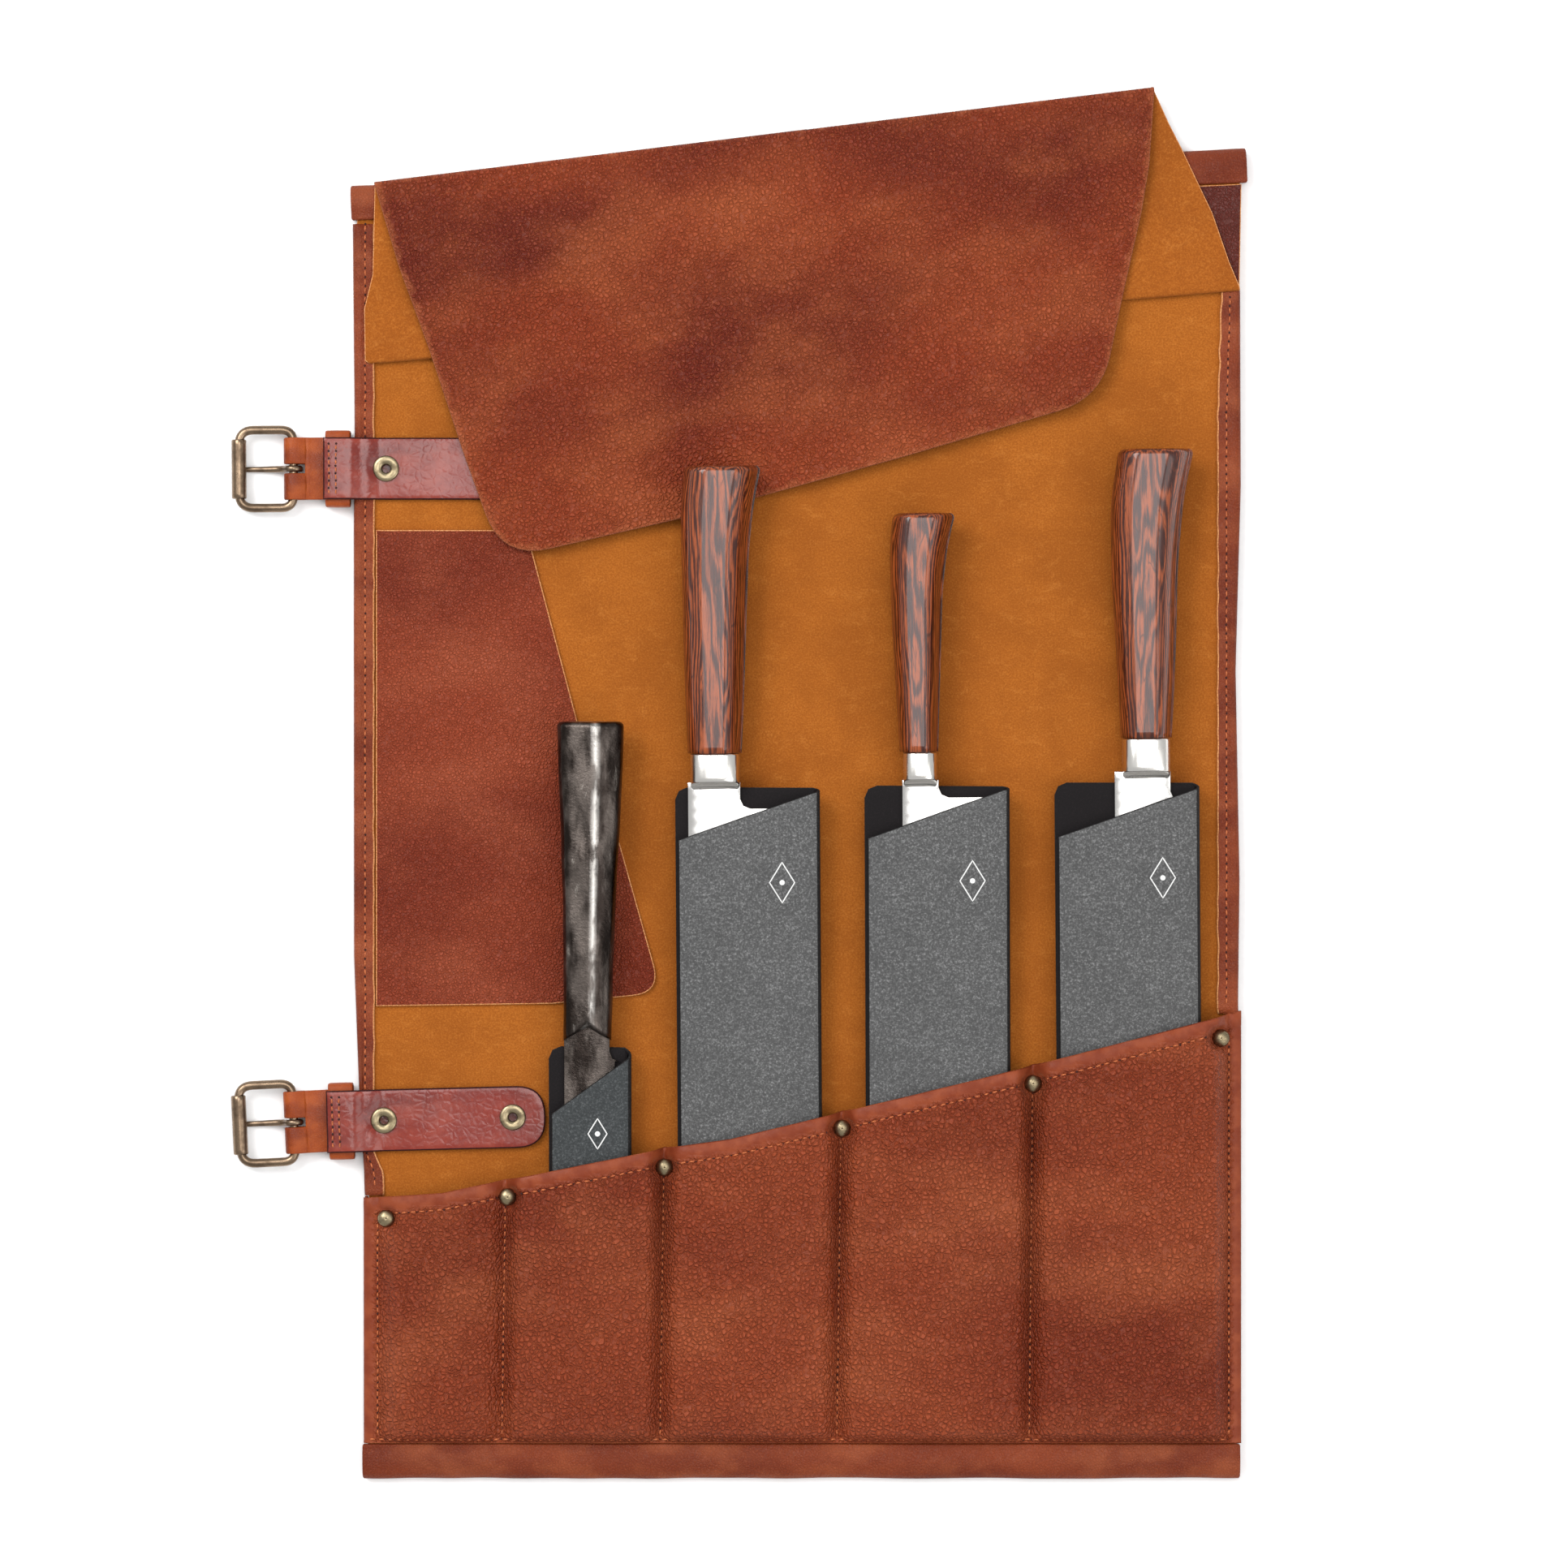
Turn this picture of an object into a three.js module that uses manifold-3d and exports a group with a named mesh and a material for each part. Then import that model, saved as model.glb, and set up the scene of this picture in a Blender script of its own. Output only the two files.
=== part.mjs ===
// Opened leather knife roll with four knives in blade guards, a folded top flap, a side flap
// and two buckled straps. Millimetres, +Z up, the outside of the leather lies on Z = 0.
// +Y runs from the pockets to the flap, and the origin is below the middle of the roll.
import * as THREE from 'three';
import { mergeVertices } from 'three/addons/utils/BufferGeometryUtils.js';
import Module from 'manifold-3d';

const wasm = await Module();
wasm.setup();

// Leather layers
const gap = 0.3;
const leather = 1.4;
const beltThickness = 2.3;
const panelThickness = 1.9;
const panelBottom = beltThickness + gap;
const panelTop = panelBottom + panelThickness;
const firstLayer = panelTop + gap;
const firstTop = firstLayer + leather;
const secondLayer = firstTop + gap;
const thirdLayer = secondLayer + leather + gap;

// Hems
const hemTurn = 0.0423;
const hemDepth = 14.3;
const hemRound = 3;
const topHemStart = [-157.7, 229.1];
const topHemLength = 364.7;
const bottomHemStart = [203.7, -268.3];
const bottomHemLength = 357;
const hemSlot = 8;

// Panel outline, listed from the top hem to the bottom hem
const leftEdge = [[-157.4, 228.8], [-156.6, 140], [-157, 104], [-156.9, -70], [-154.9, -123],
  [-152.9, -156], [-152.5, -169.5], [-152.3, -268]];
const rightEdge = [[205.6, 243.4], [203.8, 202], [204.1, 121], [202, 46], [203.6, -38],
  [203, -90], [203.9, -107], [203.6, -268]];
const leftTurnWidth = 8.4;
const rightTurnInner = 194.4;

// Pockets
const pocketFloor = -263.7;
const pocketWall = 1.2;
const pocketTopEdge = [[-120.5, -166], [-97, -161.1], [-30.4, -147.7], [-3.6, -143.9],
  [41.6, -133], [117.8, -114.5], [201.6, -92.6]];
const pocketLeft = -150.6;
const pocketRight = 201.6;
const pocketTopLeft = -168.2;
const pocketBottom = -268;
const pocketRivets = [[-143.6, -176.6], [-94.2, -167.9], [-30.5, -155.8], [41.7, -140],
  [119.4, -121.8], [195.8, -103.3]];

// Blade guards
const guardThickness = 5.4;
const guardLeaf = 1;
const linerLeaf = 0.4;
const bladeThickness = 1.4;
const bladeCentre = guardThickness / 2;
const guardCorner = 5;

// Buckled straps
const tabThickness = 2;
const strapWidth = 25.2;
const barHeight = 5.2;
const barToRoller = 22.1;
const rollerRadius = 3;
const rollerLength = 24;
const frameWire = 3.6;
const frameHeight = 35.3;
const frameCorner = 6.6;
const barCorner = 5.6;
const boreRadius = 2.4;
const prongWidth = 2.5;

const X = new THREE.Vector3(1, 0, 0);
const Y = new THREE.Vector3(0, 1, 0);
const Z = new THREE.Vector3(0, 0, 1);

// Shape helpers

// Outline through points; a third number in a point rounds that corner.
function outline(points) {
  const shape = new THREE.Shape();
  const count = points.length;
  for (let i = 0; i < count; i += 1) {
    const corner = new THREE.Vector2(points[i][0], points[i][1]);
    const round = points[i][2] ?? 0;
    const before = new THREE.Vector2(...points[(i + count - 1) % count].slice(0, 2));
    const after = new THREE.Vector2(...points[(i + 1) % count].slice(0, 2));
    const start = corner.clone().add(before.sub(corner).setLength(round));
    const end = corner.clone().add(after.sub(corner).setLength(round));
    if (i === 0) {
      shape.moveTo(start.x, start.y);
    } else {
      shape.lineTo(start.x, start.y);
    }
    if (round > 0) {
      shape.quadraticCurveTo(corner.x, corner.y, end.x, end.y);
    }
  }
  shape.closePath();
  return shape;
}

function extruded(shape, depth, curveSegments = 6) {
  return new THREE.ExtrudeGeometry(shape, { depth, bevelEnabled: false, curveSegments });
}

// Plan outline, from one height to another.
function plate(shape, bottom, top, curveSegments) {
  return extruded(shape, top - bottom, curveSegments).translate(0, 0, bottom);
}

// Outline in X and Z, from one Y to another.
function alongY(shape, from, to, curveSegments) {
  const geometry = extruded(shape, to - from, curveSegments);
  geometry.applyMatrix4(new THREE.Matrix4().makeBasis(X, Z, Y.clone().negate()));
  return geometry.translate(0, to, 0);
}

// Outline in Y and Z, from one X to another.
function alongX(shape, from, to, curveSegments) {
  const geometry = extruded(shape, to - from, curveSegments);
  geometry.applyMatrix4(new THREE.Matrix4().makeBasis(Y, Z, X));
  return geometry.translate(from, 0, 0);
}

function box(low, high) {
  const size = high.map((value, i) => value - low[i]);
  const middle = high.map((value, i) => (value + low[i]) / 2);
  return new THREE.BoxGeometry(...size).translate(...middle);
}

function pin(x, y, radius, bottom, top, sides = 16) {
  const geometry = new THREE.CylinderGeometry(radius, radius, top - bottom, sides);
  return geometry.rotateX(Math.PI / 2).translate(x, y, (bottom + top) / 2);
}

// Profile of [radius, height] points turned about a vertical axis.
function turned(profile, sides = 20) {
  const points = profile.map(([radius, height]) => new THREE.Vector2(radius, height));
  return new THREE.LatheGeometry(points, sides).rotateX(Math.PI / 2);
}

function solid(geometry) {
  const bare = geometry.clone();
  bare.deleteAttribute('normal');
  bare.deleteAttribute('uv');
  const merged = mergeVertices(bare, 1e-4);
  const corners = merged.index.array;
  const triVerts = [];
  for (let i = 0; i < corners.length; i += 3) {
    const [a, b, c] = corners.slice(i, i + 3);
    if (a !== b && b !== c && c !== a) {
      triVerts.push(a, b, c);
    }
  }
  return new wasm.Manifold(new wasm.Mesh({
    numProp: 3,
    vertProperties: merged.attributes.position.array,
    triVerts: new Uint32Array(triVerts),
  }));
}

function geometryOf(body) {
  const mesh = body.getMesh();
  const geometry = new THREE.BufferGeometry();
  geometry.setAttribute('position', new THREE.BufferAttribute(mesh.vertProperties, 3));
  geometry.setIndex(new THREE.BufferAttribute(mesh.triVerts, 1));
  geometry.computeVertexNormals();
  return geometry;
}

function cut(geometry, ...cutters) {
  const body = cutters.reduce((rest, cutter) => rest.subtract(solid(cutter)), solid(geometry));
  return geometryOf(body);
}

// Materials

function material(color, roughness, metalness = 0) {
  return () => new THREE.MeshStandardMaterial({ color, roughness, metalness });
}

const grainLeather = material(0x8c3c23, 0.45);
const turnedLeather = material(0xa0553c, 0.5);
const suede = material(0xaf6926, 0.9);
const burgundyLeather = material(0x73231e, 0.3);
const orangeLeather = material(0xc35f23, 0.5);
const antiqueBrass = material(0x967d64, 0.35, 1);
const domeBrass = material(0xaaa087, 0.3, 1);
const guardBoard = material(0x696969, 0.7);
const smallGuardBoard = material(0x4b5052, 0.7);
const blackLiner = material(0x1c1818, 0.9);
const polishedSteel = material(0xd8d8d8, 0.15, 1);
const forgedSteel = material(0x4a4542, 0.4, 1);
const laminatedWood = material(0x6e2b16, 0.3);

const roll = new THREE.Group();

function add(name, geometry, makeMaterial, parent = roll) {
  const mesh = new THREE.Mesh(geometry, makeMaterial());
  mesh.name = name;
  parent.add(mesh);
  return mesh;
}

// Panel, hems and turned edges

function shifted(edge, distance) {
  return edge.map(([x, y]) => [x + distance, y]);
}

function addPanel() {
  const inset = leather + gap;
  const intoHem = hemSlot - 2;
  const left = shifted(leftEdge, inset);
  const right = shifted(rightEdge, -inset);
  left[0][1] += intoHem;
  right[0][1] += intoHem;
  left.at(-1)[1] -= intoHem;
  right.at(-1)[1] -= intoHem;
  const sheet = plate(outline([...left, ...right.reverse()]), panelBottom, panelTop);
  const rivetHoles = pocketRivets.map(([x, y]) => pin(x, y, 1.5, 0, 10));
  const tubeHoles = straps.flatMap((strap) => strap.rivets.map((along) => {
    const [x, y] = strapPoint(strap, along);
    return pin(x, y, 2.6, 0, 10);
  }));
  add('back_panel', cut(sheet, ...rivetHoles, ...tubeHoles), suede);
}

function addHem(name, start, length, turn) {
  const section = outline([[0, 0], [hemDepth, 0, hemRound], [hemDepth, firstTop, hemRound],
    [0, firstTop], [0, firstLayer], [hemSlot, firstLayer], [hemSlot, beltThickness],
    [0, beltThickness]]);
  const hem = add(name, alongX(section, 0, length), turnedLeather);
  hem.position.set(...start, 0);
  hem.rotation.z = turn;
}

function addLeftTurn() {
  const wall = [...leftEdge, ...shifted(leftEdge, leather).reverse()];
  const inner = leftEdge[0][0] + leftTurnWidth + 0.5;
  const top = [...leftEdge.slice(0, 6), [-152.4, -167.4], [-144.4, -167.2], [-144.6, -158],
    [inner, -149], [inner, leftEdge[0][1] + 0.3]];
  const body = solid(plate(outline(wall), panelBottom, firstTop))
    .add(solid(plate(outline(top), firstLayer, firstTop)));
  add('edge_turn_left', geometryOf(body), turnedLeather);
}

function addRightTurn() {
  const foldLine = 201.4;
  const below = [[203.8, foldLine], ...rightEdge.slice(2)];
  const wall = [...below, ...shifted(below, -leather).reverse()];
  const top = [...below.slice(0, 5), [rightTurnInner, -93.6], [rightTurnInner, 150],
    [rightTurnInner + 1.6, foldLine - 0.7]];
  const body = solid(plate(outline(wall), panelBottom, firstTop))
    .add(solid(plate(outline(top), firstLayer, firstTop)));
  add('edge_turn_right', geometryOf(body), turnedLeather);
}

// Flaps

const foldOne = [[-152.2, 172.1], [203.4, 202.1]];
const foldTwo = [[-148.2, 243.1], [168.6, 281.8]];

function addFlaps() {
  const rootOutline = outline([[-148.2, 172.5], foldOne[1], [204.2, 244], [-148.2, 229.1]]);
  add('flap_root', plate(rootOutline, firstLayer, firstTop), grainLeather);
  const middleOutline = outline([foldOne[0], foldOne[1], [199.2, 212], [192.3, 232],
    [179.7, 258.5], [174.6, 268.5], foldTwo[1], foldTwo[0], [-149.1, 207], [-152.5, 193]]);
  add('flap_middle', plate(middleOutline, secondLayer, secondLayer + leather), suede);
  const leafOutline = outline([foldTwo[0], [-138.3, 210.3], [-126.3, 177.4], [-112.3, 135],
    [-96.5, 91, 20], [-24, 107.7], [67.3, 133], [147, 156.5, 18], [155.7, 198], [163.3, 232],
    [166.4, 251], foldTwo[1]]);
  add('flap_leaf', plate(leafOutline, thirdLayer, thirdLayer + leather), grainLeather);
  const sideOutline = outline([[-147.8, 103.3], [-86.5, 103.3], [-65.7, 25], [-48.2, -25.6],
    [-31.5, -85, 12], [-76, -89.4], [-147.8, -90.4]]);
  add('side_flap', plate(sideOutline, firstLayer, firstTop), burgundyLeather);
}

// Pocket front: one sheet sewn down between raised channels

const channels = [
  { from: -138.6, to: -99.2, height: 4.6, tilt: 0 },
  { from: -89.1, to: -36, height: guardThickness + 0.4, tilt: 2.4 },
  { from: -25.6, to: 36.8, height: guardThickness + 0.4, tilt: 1.8 },
  { from: 46.8, to: 114.5, height: guardThickness + 0.4, tilt: 1.7 },
  { from: 124.4, to: 190.8, height: guardThickness + 0.4, tilt: 1.55 },
];

// Solid below a channel's sloping ceiling, grown outwards by a margin.
function channelSolid({ from, to, height, tilt }, floor, margin, lift) {
  const start = pocketFloor - 1.5 - margin;
  const reach = 200;
  const rise = Math.tan(THREE.MathUtils.degToRad(tilt));
  const ceiling = firstLayer + height + lift;
  const side = outline([[start, floor], [start + reach, floor],
    [start + reach, ceiling + rise * reach], [start, ceiling]]);
  return solid(alongX(side, from - margin, to + margin));
}

function addPocketFront() {
  const shape = outline([[pocketLeft, pocketBottom], [pocketRight, pocketBottom],
    ...pocketTopEdge.toReversed(), [pocketLeft, pocketTopLeft]]);
  const footprint = solid(plate(shape, firstLayer, firstLayer + 30));
  let body = solid(plate(shape, firstLayer, firstTop));
  for (const channel of channels) {
    const outer = channelSolid(channel, firstLayer, pocketWall, leather);
    body = body.add(outer.intersect(footprint));
  }
  for (const channel of channels) {
    body = body.subtract(channelSolid(channel, panelTop - 1, 0, 0));
  }
  for (const [x, y] of pocketRivets) {
    body = body.subtract(solid(pin(x, y, 1.5, 0, 10)));
  }
  add('pocket_front', geometryOf(body), grainLeather);
}

function addPocketRivets() {
  const seat = firstTop + 0.2;
  const head = [[0, panelBottom], [1.2, panelBottom], [1.2, seat], [3.3, seat], [3.4, seat + 0.5],
    [3, seat + 1.4], [2, seat + 2], [1, seat + 2.3], [0, seat + 2.4]];
  pocketRivets.forEach(([x, y], i) => {
    const rivet = add(`pocket_rivet_${i + 1}`, turned(head, 24), domeBrass);
    rivet.position.set(x, y, 0);
  });
}

// Straps

const straps = [
  { name: 'upper', origin: [-169, 128.2], turn: 0, buckleTurn: 0.4, bar: -12.4,
    rivets: [25.4, 76.9], step: 20.9, length: 90.1 },
  { name: 'lower', origin: [-167.6, -137.3], turn: 1.4, buckleTurn: 1.4, bar: -13.6,
    rivets: [23.1, 75.5], step: 19.5, length: 88.8 },
];

function strapPoint(strap, along) {
  const turn = THREE.MathUtils.degToRad(strap.turn);
  return [strap.origin[0] + along * Math.cos(turn), strap.origin[1] + along * Math.sin(turn)];
}

function strapTab(strap) {
  const lifted = 8.3;
  const overTurn = firstTop + gap;
  const low = [[0, lifted], [11.2, lifted], [14.5, overTurn], [strap.step, overTurn],
    [strap.step + 1.8, firstLayer], [strap.length, firstLayer]];
  const high = low.map(([x, z]) => [x, z + tabThickness]).reverse();
  const half = strapWidth / 2;
  const plan = outline([[0, -half], [strap.length, -half, half], [strap.length, half, half],
    [0, half]]);
  let body = solid(alongY(outline([...low, ...high]), -half, half));
  body = body.intersect(solid(plate(plan, 0, 20, 10)));
  for (const along of strap.rivets) {
    body = body.subtract(solid(pin(along, 0, 2.6, 0, 20)));
    body = body.subtract(solid(pin(along, 0, 5.6, firstLayer + tabThickness, 20, 24)));
  }
  return geometryOf(body);
}

function tubeRivet() {
  const seat = firstLayer + tabThickness + gap;
  const profile = [[1.7, gap], [2.3, gap], [2.3, seat], [5.3, seat], [5.1, seat + 0.5],
    [4, seat + 0.8], [2.6, seat + 0.7], [1.7, seat + 0.3], [1.7, gap]];
  return turned(profile, 24);
}

function chape() {
  const outer = leather + boreRadius;
  const tongue = [3.3, 6.6];
  const profile = new THREE.Shape();
  profile.absarc(0, barHeight, outer, Math.PI / 2, 1.5 * Math.PI, false);
  profile.quadraticCurveTo(4, barHeight - outer, 8, tongue[0]);
  profile.lineTo(23.4, tongue[0]);
  profile.lineTo(23.4, tongue[1]);
  profile.lineTo(8, tongue[1]);
  profile.quadraticCurveTo(4, barHeight + outer, 0, barHeight + outer);
  const bore = new THREE.Path();
  bore.absarc(0, barHeight, boreRadius, 0, 2 * Math.PI, true);
  profile.holes.push(bore);
  const slot = box([-10, -prongWidth / 2 - 0.5, -5], [5.2, prongWidth / 2 + 0.5, 15]);
  return cut(alongY(profile, -strapWidth / 2, strapWidth / 2, 12), slot);
}

function keeper() {
  const half = strapWidth / 2 + 3;
  const wall = 1.1;
  const ring = outline([[-half, 0.2, 1], [half, 0.2, 1], [half, 8, 1], [-half, 8, 1]]);
  ring.holes.push(outline([[-half + wall, 0.2 + wall], [-half + wall, 8 - wall],
    [half - wall, 8 - wall], [half - wall, 0.2 + wall]]));
  return alongX(ring, 0.7, 10.8, 3);
}

function belt() {
  const half = strapWidth / 2;
  const start = 17;
  const end = 345;
  const shape = outline([[start, -half], [end - 12, -half, 3], [end, 0, 3], [end - 12, half, 3],
    [start, half]]);
  const holes = [0, 1, 2, 3, 4].map((i) => pin(end - 35 - 25 * i, 0, 2, -1, 5, 12));
  return (strap) => {
    const tubeHoles = strap.rivets.map((along) => pin(along, 0, 2.6, -1, 5));
    return cut(plate(shape, 0, beltThickness), ...holes, ...tubeHoles);
  };
}

function buckleFrame() {
  const bevel = 1.2;
  const half = frameWire / 2;
  const left = -barToRoller - half;
  const right = half;
  const top = frameHeight / 2;
  const ring = outline([[left, -top, frameCorner], [right, -top, barCorner],
    [right, top, barCorner], [left, top, frameCorner]]);
  const inner = frameCorner - frameWire;
  const barInner = barCorner - frameWire;
  ring.holes.push(outline([[left + frameWire, -top + frameWire, inner],
    [left + frameWire, top - frameWire, inner], [right - frameWire, top - frameWire, barInner],
    [right - frameWire, -top + frameWire, barInner]]));
  const geometry = new THREE.ExtrudeGeometry(ring, { depth: frameWire - 2 * bevel,
    bevelThickness: bevel, bevelSize: bevel, bevelOffset: -bevel, bevelSegments: 2,
    curveSegments: 5 });
  return geometry.translate(0, 0, barHeight - half + bevel);
}

function roller() {
  const half = rollerLength / 2;
  const edge = 0.4;
  const profile = [[boreRadius, -half], [rollerRadius - edge, -half], [rollerRadius, edge - half],
    [rollerRadius, half - edge], [rollerRadius - edge, half], [boreRadius, half],
    [boreRadius, -half]];
  return turned(profile, 20).rotateX(Math.PI / 2);
}

function prong() {
  const outer = boreRadius + 1.4;
  const shape = new THREE.Shape();
  shape.moveTo(0, barHeight - outer);
  shape.absarc(0, barHeight, outer, -Math.PI / 2, Math.PI * 1.05, false);
  shape.lineTo(-6.5, 3);
  shape.lineTo(-17.5, 1.9);
  shape.lineTo(-24, 1.8);
  shape.lineTo(-24.6, 1.1);
  shape.lineTo(-24, 0.4);
  shape.lineTo(-17.5, 0.4);
  shape.closePath();
  const bore = new THREE.Path();
  bore.absarc(0, barHeight, boreRadius, 0, 2 * Math.PI, true);
  shape.holes.push(bore);
  return alongY(shape, -prongWidth / 2, prongWidth / 2, 16);
}

function addStrap(strap) {
  const group = new THREE.Group();
  group.position.set(...strap.origin, 0);
  group.rotation.z = THREE.MathUtils.degToRad(strap.turn);
  roll.add(group);
  add(`strap_tab_${strap.name}`, strapTab(strap), burgundyLeather, group);
  add(`belt_${strap.name}`, belt()(strap), burgundyLeather, group);
  add(`keeper_${strap.name}`, keeper(), orangeLeather, group);
  strap.rivets.forEach((along, i) => {
    const rivet = add(`tab_rivet_${strap.name}_${i + 1}`, tubeRivet(), antiqueBrass, group);
    rivet.position.x = along;
  });
  const buckle = new THREE.Group();
  buckle.position.x = strap.bar;
  buckle.rotation.z = THREE.MathUtils.degToRad(strap.buckleTurn);
  group.add(buckle);
  add(`chape_${strap.name}`, chape(), orangeLeather, buckle);
  add(`buckle_frame_${strap.name}`, buckleFrame(), antiqueBrass, buckle);
  add(`buckle_prong_${strap.name}`, prong(), antiqueBrass, buckle);
  const wheel = add(`buckle_roller_${strap.name}`, roller(), antiqueBrass, buckle);
  wheel.position.set(-barToRoller, 0, barHeight);
}

// Knives in their guards, each set drawn flat from the guard's lower left corner

const knives = [
  { left: -24.2, tilt: 1.8, yaw: 0.4, width: 58.7, slant: [240.9, 261], top: 262.5,
    board: guardBoard, steel: polishedSteel,
    blade: { spine: 5.2, neck: 26.5, heel: 253.8, edge: 51, tip: 48 },
    ferrule: { from: 263.6, to: 276.1, left: 6.4, right: 26.3 },
    handle: {
      left: [[5.6, 266], [5.2, 276.2], [4, 316.2], [3, 373.7], [4.8, 392.6]],
      right: [[26.5, 266], [28.1, 295], [29.3, 326.7], [30.6, 358.4], [32.9, 379.2],
        [35.8, 392.2]],
    } },
  { left: 51.9, tilt: 1.7, yaw: 0.25, width: 58.8, slant: [241.6, 262.2], top: 263.2,
    board: guardBoard, steel: polishedSteel,
    blade: { spine: 15.3, neck: 30.1, heel: 258.4, edge: 54, tip: 82 },
    ferrule: { from: 264.6, to: 276.7, left: 15.8, right: 29.5 },
    handle: {
      left: [[14.8, 266], [13.3, 295], [11.4, 326.7], [10.4, 361.4], [12.1, 373.5]],
      right: [[29.6, 266], [30.4, 295], [31.3, 321.5], [31.9, 342.6], [34.1, 361.4],
        [37.2, 373.1]],
    } },
  { left: 130.1, tilt: 1.55, yaw: 0.5, width: 58.7, slant: [242.2, 262], top: 264.4,
    board: guardBoard, steel: polishedSteel,
    blade: { spine: 24.3, neck: 47, heel: 256.5, edge: 50, tip: 50 },
    ferrule: { from: 267.8, to: 282.1, left: 27.6, right: 46.8 },
    handle: {
      left: [[27.4, 272], [25.7, 310], [23.8, 343.6], [23.4, 377.2], [26.9, 399.2]],
      right: [[47, 272], [48.7, 301], [49.9, 326.7], [50.5, 351.8], [53.2, 380.5],
        [57.4, 399]],
    } },
  { left: -77.3, tilt: 2.4, yaw: 0, width: 33.6, slant: [130, 153.8], top: 157.5,
    board: smallGuardBoard, steel: forgedSteel,
    blade: { spine: 6.3, neck: 24.8, heel: 151.5, edge: 27, tip: 40 },
    grip: {
      left: [[6, 158], [6.2, 170], [5.8, 220], [4.2, 270], [3.4, 289.3]],
      right: [[25.4, 158], [25.6, 170], [27.4, 220], [30.2, 270], [30.6, 289.3]],
    } },
];

function guardShell({ width, slant, top }) {
  const back = outline([[0, 0], [width, 0, 2], [width, top, 1], [0, top, guardCorner]]);
  const inner = [guardLeaf, guardThickness - guardLeaf];
  const slot = box([-1, guardLeaf, inner[0]], [width - guardLeaf, top + 10, inner[1]]);
  const above = outline([[-1, slant[0]], [width + 1, slant[1]], [width + 1, top + 10],
    [-1, top + 10]]);
  return cut(plate(back, 0, guardThickness), slot, plate(above, inner[0], guardThickness + 1));
}

function guardLiner({ width, slant, top }) {
  const inset = guardLeaf + gap;
  const low = guardLeaf + gap;
  const high = guardThickness - low;
  const back = outline([[gap, inset], [width - inset, inset], [width - inset, top - gap],
    [gap, top - gap, guardCorner]]);
  const slot = box([-1, inset + linerLeaf, low + linerLeaf],
    [width - inset - linerLeaf, top + 10, high - linerLeaf]);
  const above = outline([[-1, slant[0] - 0.6], [width + 1, slant[1] - 0.6],
    [width + 1, top + 10], [-1, top + 10]]);
  return cut(plate(back, low, high), slot, plate(above, low + linerLeaf, high + 1));
}

const tangLength = 30;

// Blade with its edge on the right, its tip down and a tang running up into the handle.
function bladeGeometry({ spine, neck, heel, edge, tip }, neckTop, tangCentre) {
  const shape = new THREE.Shape();
  const point = [spine + 5, tip];
  shape.moveTo(spine, neckTop);
  shape.lineTo(spine, tip + 40);
  shape.quadraticCurveTo(spine, tip + 12, point[0], point[1]);
  shape.quadraticCurveTo(edge - 3, tip + 30, edge, tip + 110);
  shape.lineTo(edge, heel);
  shape.lineTo(neck + 3, heel);
  shape.quadraticCurveTo(neck, heel, neck, heel + 4);
  shape.lineTo(neck, neckTop);
  shape.lineTo(tangCentre + 4, neckTop);
  shape.lineTo(tangCentre + 4, neckTop + tangLength);
  shape.lineTo(tangCentre - 4, neckTop + tangLength);
  shape.lineTo(tangCentre - 4, neckTop);
  shape.closePath();
  return plate(shape, bladeCentre - bladeThickness / 2, bladeCentre + bladeThickness / 2);
}

function tangSlot(centre, from, length) {
  const half = bladeThickness / 2 + gap;
  return box([centre - 4 - gap, from, bladeCentre - half],
    [centre + 4 + gap, from + length, bladeCentre + half]);
}

// Grip between two smooth sides, both listed upwards, softened towards its flat faces.
function rounded({ left, right }, thickness, soft) {
  const side = (points) => new THREE.SplineCurve(
    points.map(([x, y]) => new THREE.Vector2(x, y)),
  ).getPoints(points.length);
  const shape = new THREE.Shape([...side(right), ...side(left).reverse()]);
  const geometry = new THREE.ExtrudeGeometry(shape, { depth: thickness - 2 * soft,
    bevelThickness: soft, bevelSize: soft * 0.8, bevelOffset: -soft * 0.8, bevelSegments: 4 });
  return geometry.translate(0, 0, bladeCentre - thickness / 2 + soft);
}

function addWoodKnife(name, knife, group) {
  const { ferrule, blade } = knife;
  const centre = (ferrule.left + ferrule.right) / 2;
  const across = ferrule.right - ferrule.left;
  const thickness = 17.2;
  const handleStart = ferrule.to + gap;
  add(`${name}_blade`, bladeGeometry(blade, ferrule.from - gap, centre), knife.steel, group);
  const oval = new THREE.Shape();
  oval.absellipse(centre, bladeCentre, across / 2, thickness / 2, 0, 2 * Math.PI, false);
  const collar = alongY(oval, ferrule.from, ferrule.to, 12);
  const tang = tangSlot(centre, ferrule.from - 5, tangLength + 5);
  add(`${name}_ferrule`, cut(collar, tang), polishedSteel, group);
  const wood = rounded(knife.handle, 18.6, 5);
  const below = box([-50, 200, -50], [100, handleStart, 50]);
  add(`${name}_handle`, cut(wood, below, tang), laminatedWood, group);
}

function addForgedKnife(name, knife, group) {
  const neckTop = 160;
  const centre = 15.8;
  add(`${name}_blade`, bladeGeometry(knife.blade, neckTop, centre), knife.steel, group);
  const collar = outline([[-5, 140], [40, 140], [40, 160], [26, 161.5], [centre, 168.5],
    [4, 160.5], [-5, 160]]);
  const grip = cut(rounded(knife.grip, 16, 4.5), plate(collar, -50, 50),
    tangSlot(centre, neckTop - 5, tangLength + 5.3));
  add(`${name}_handle`, grip, forgedSteel, group);
}

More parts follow.
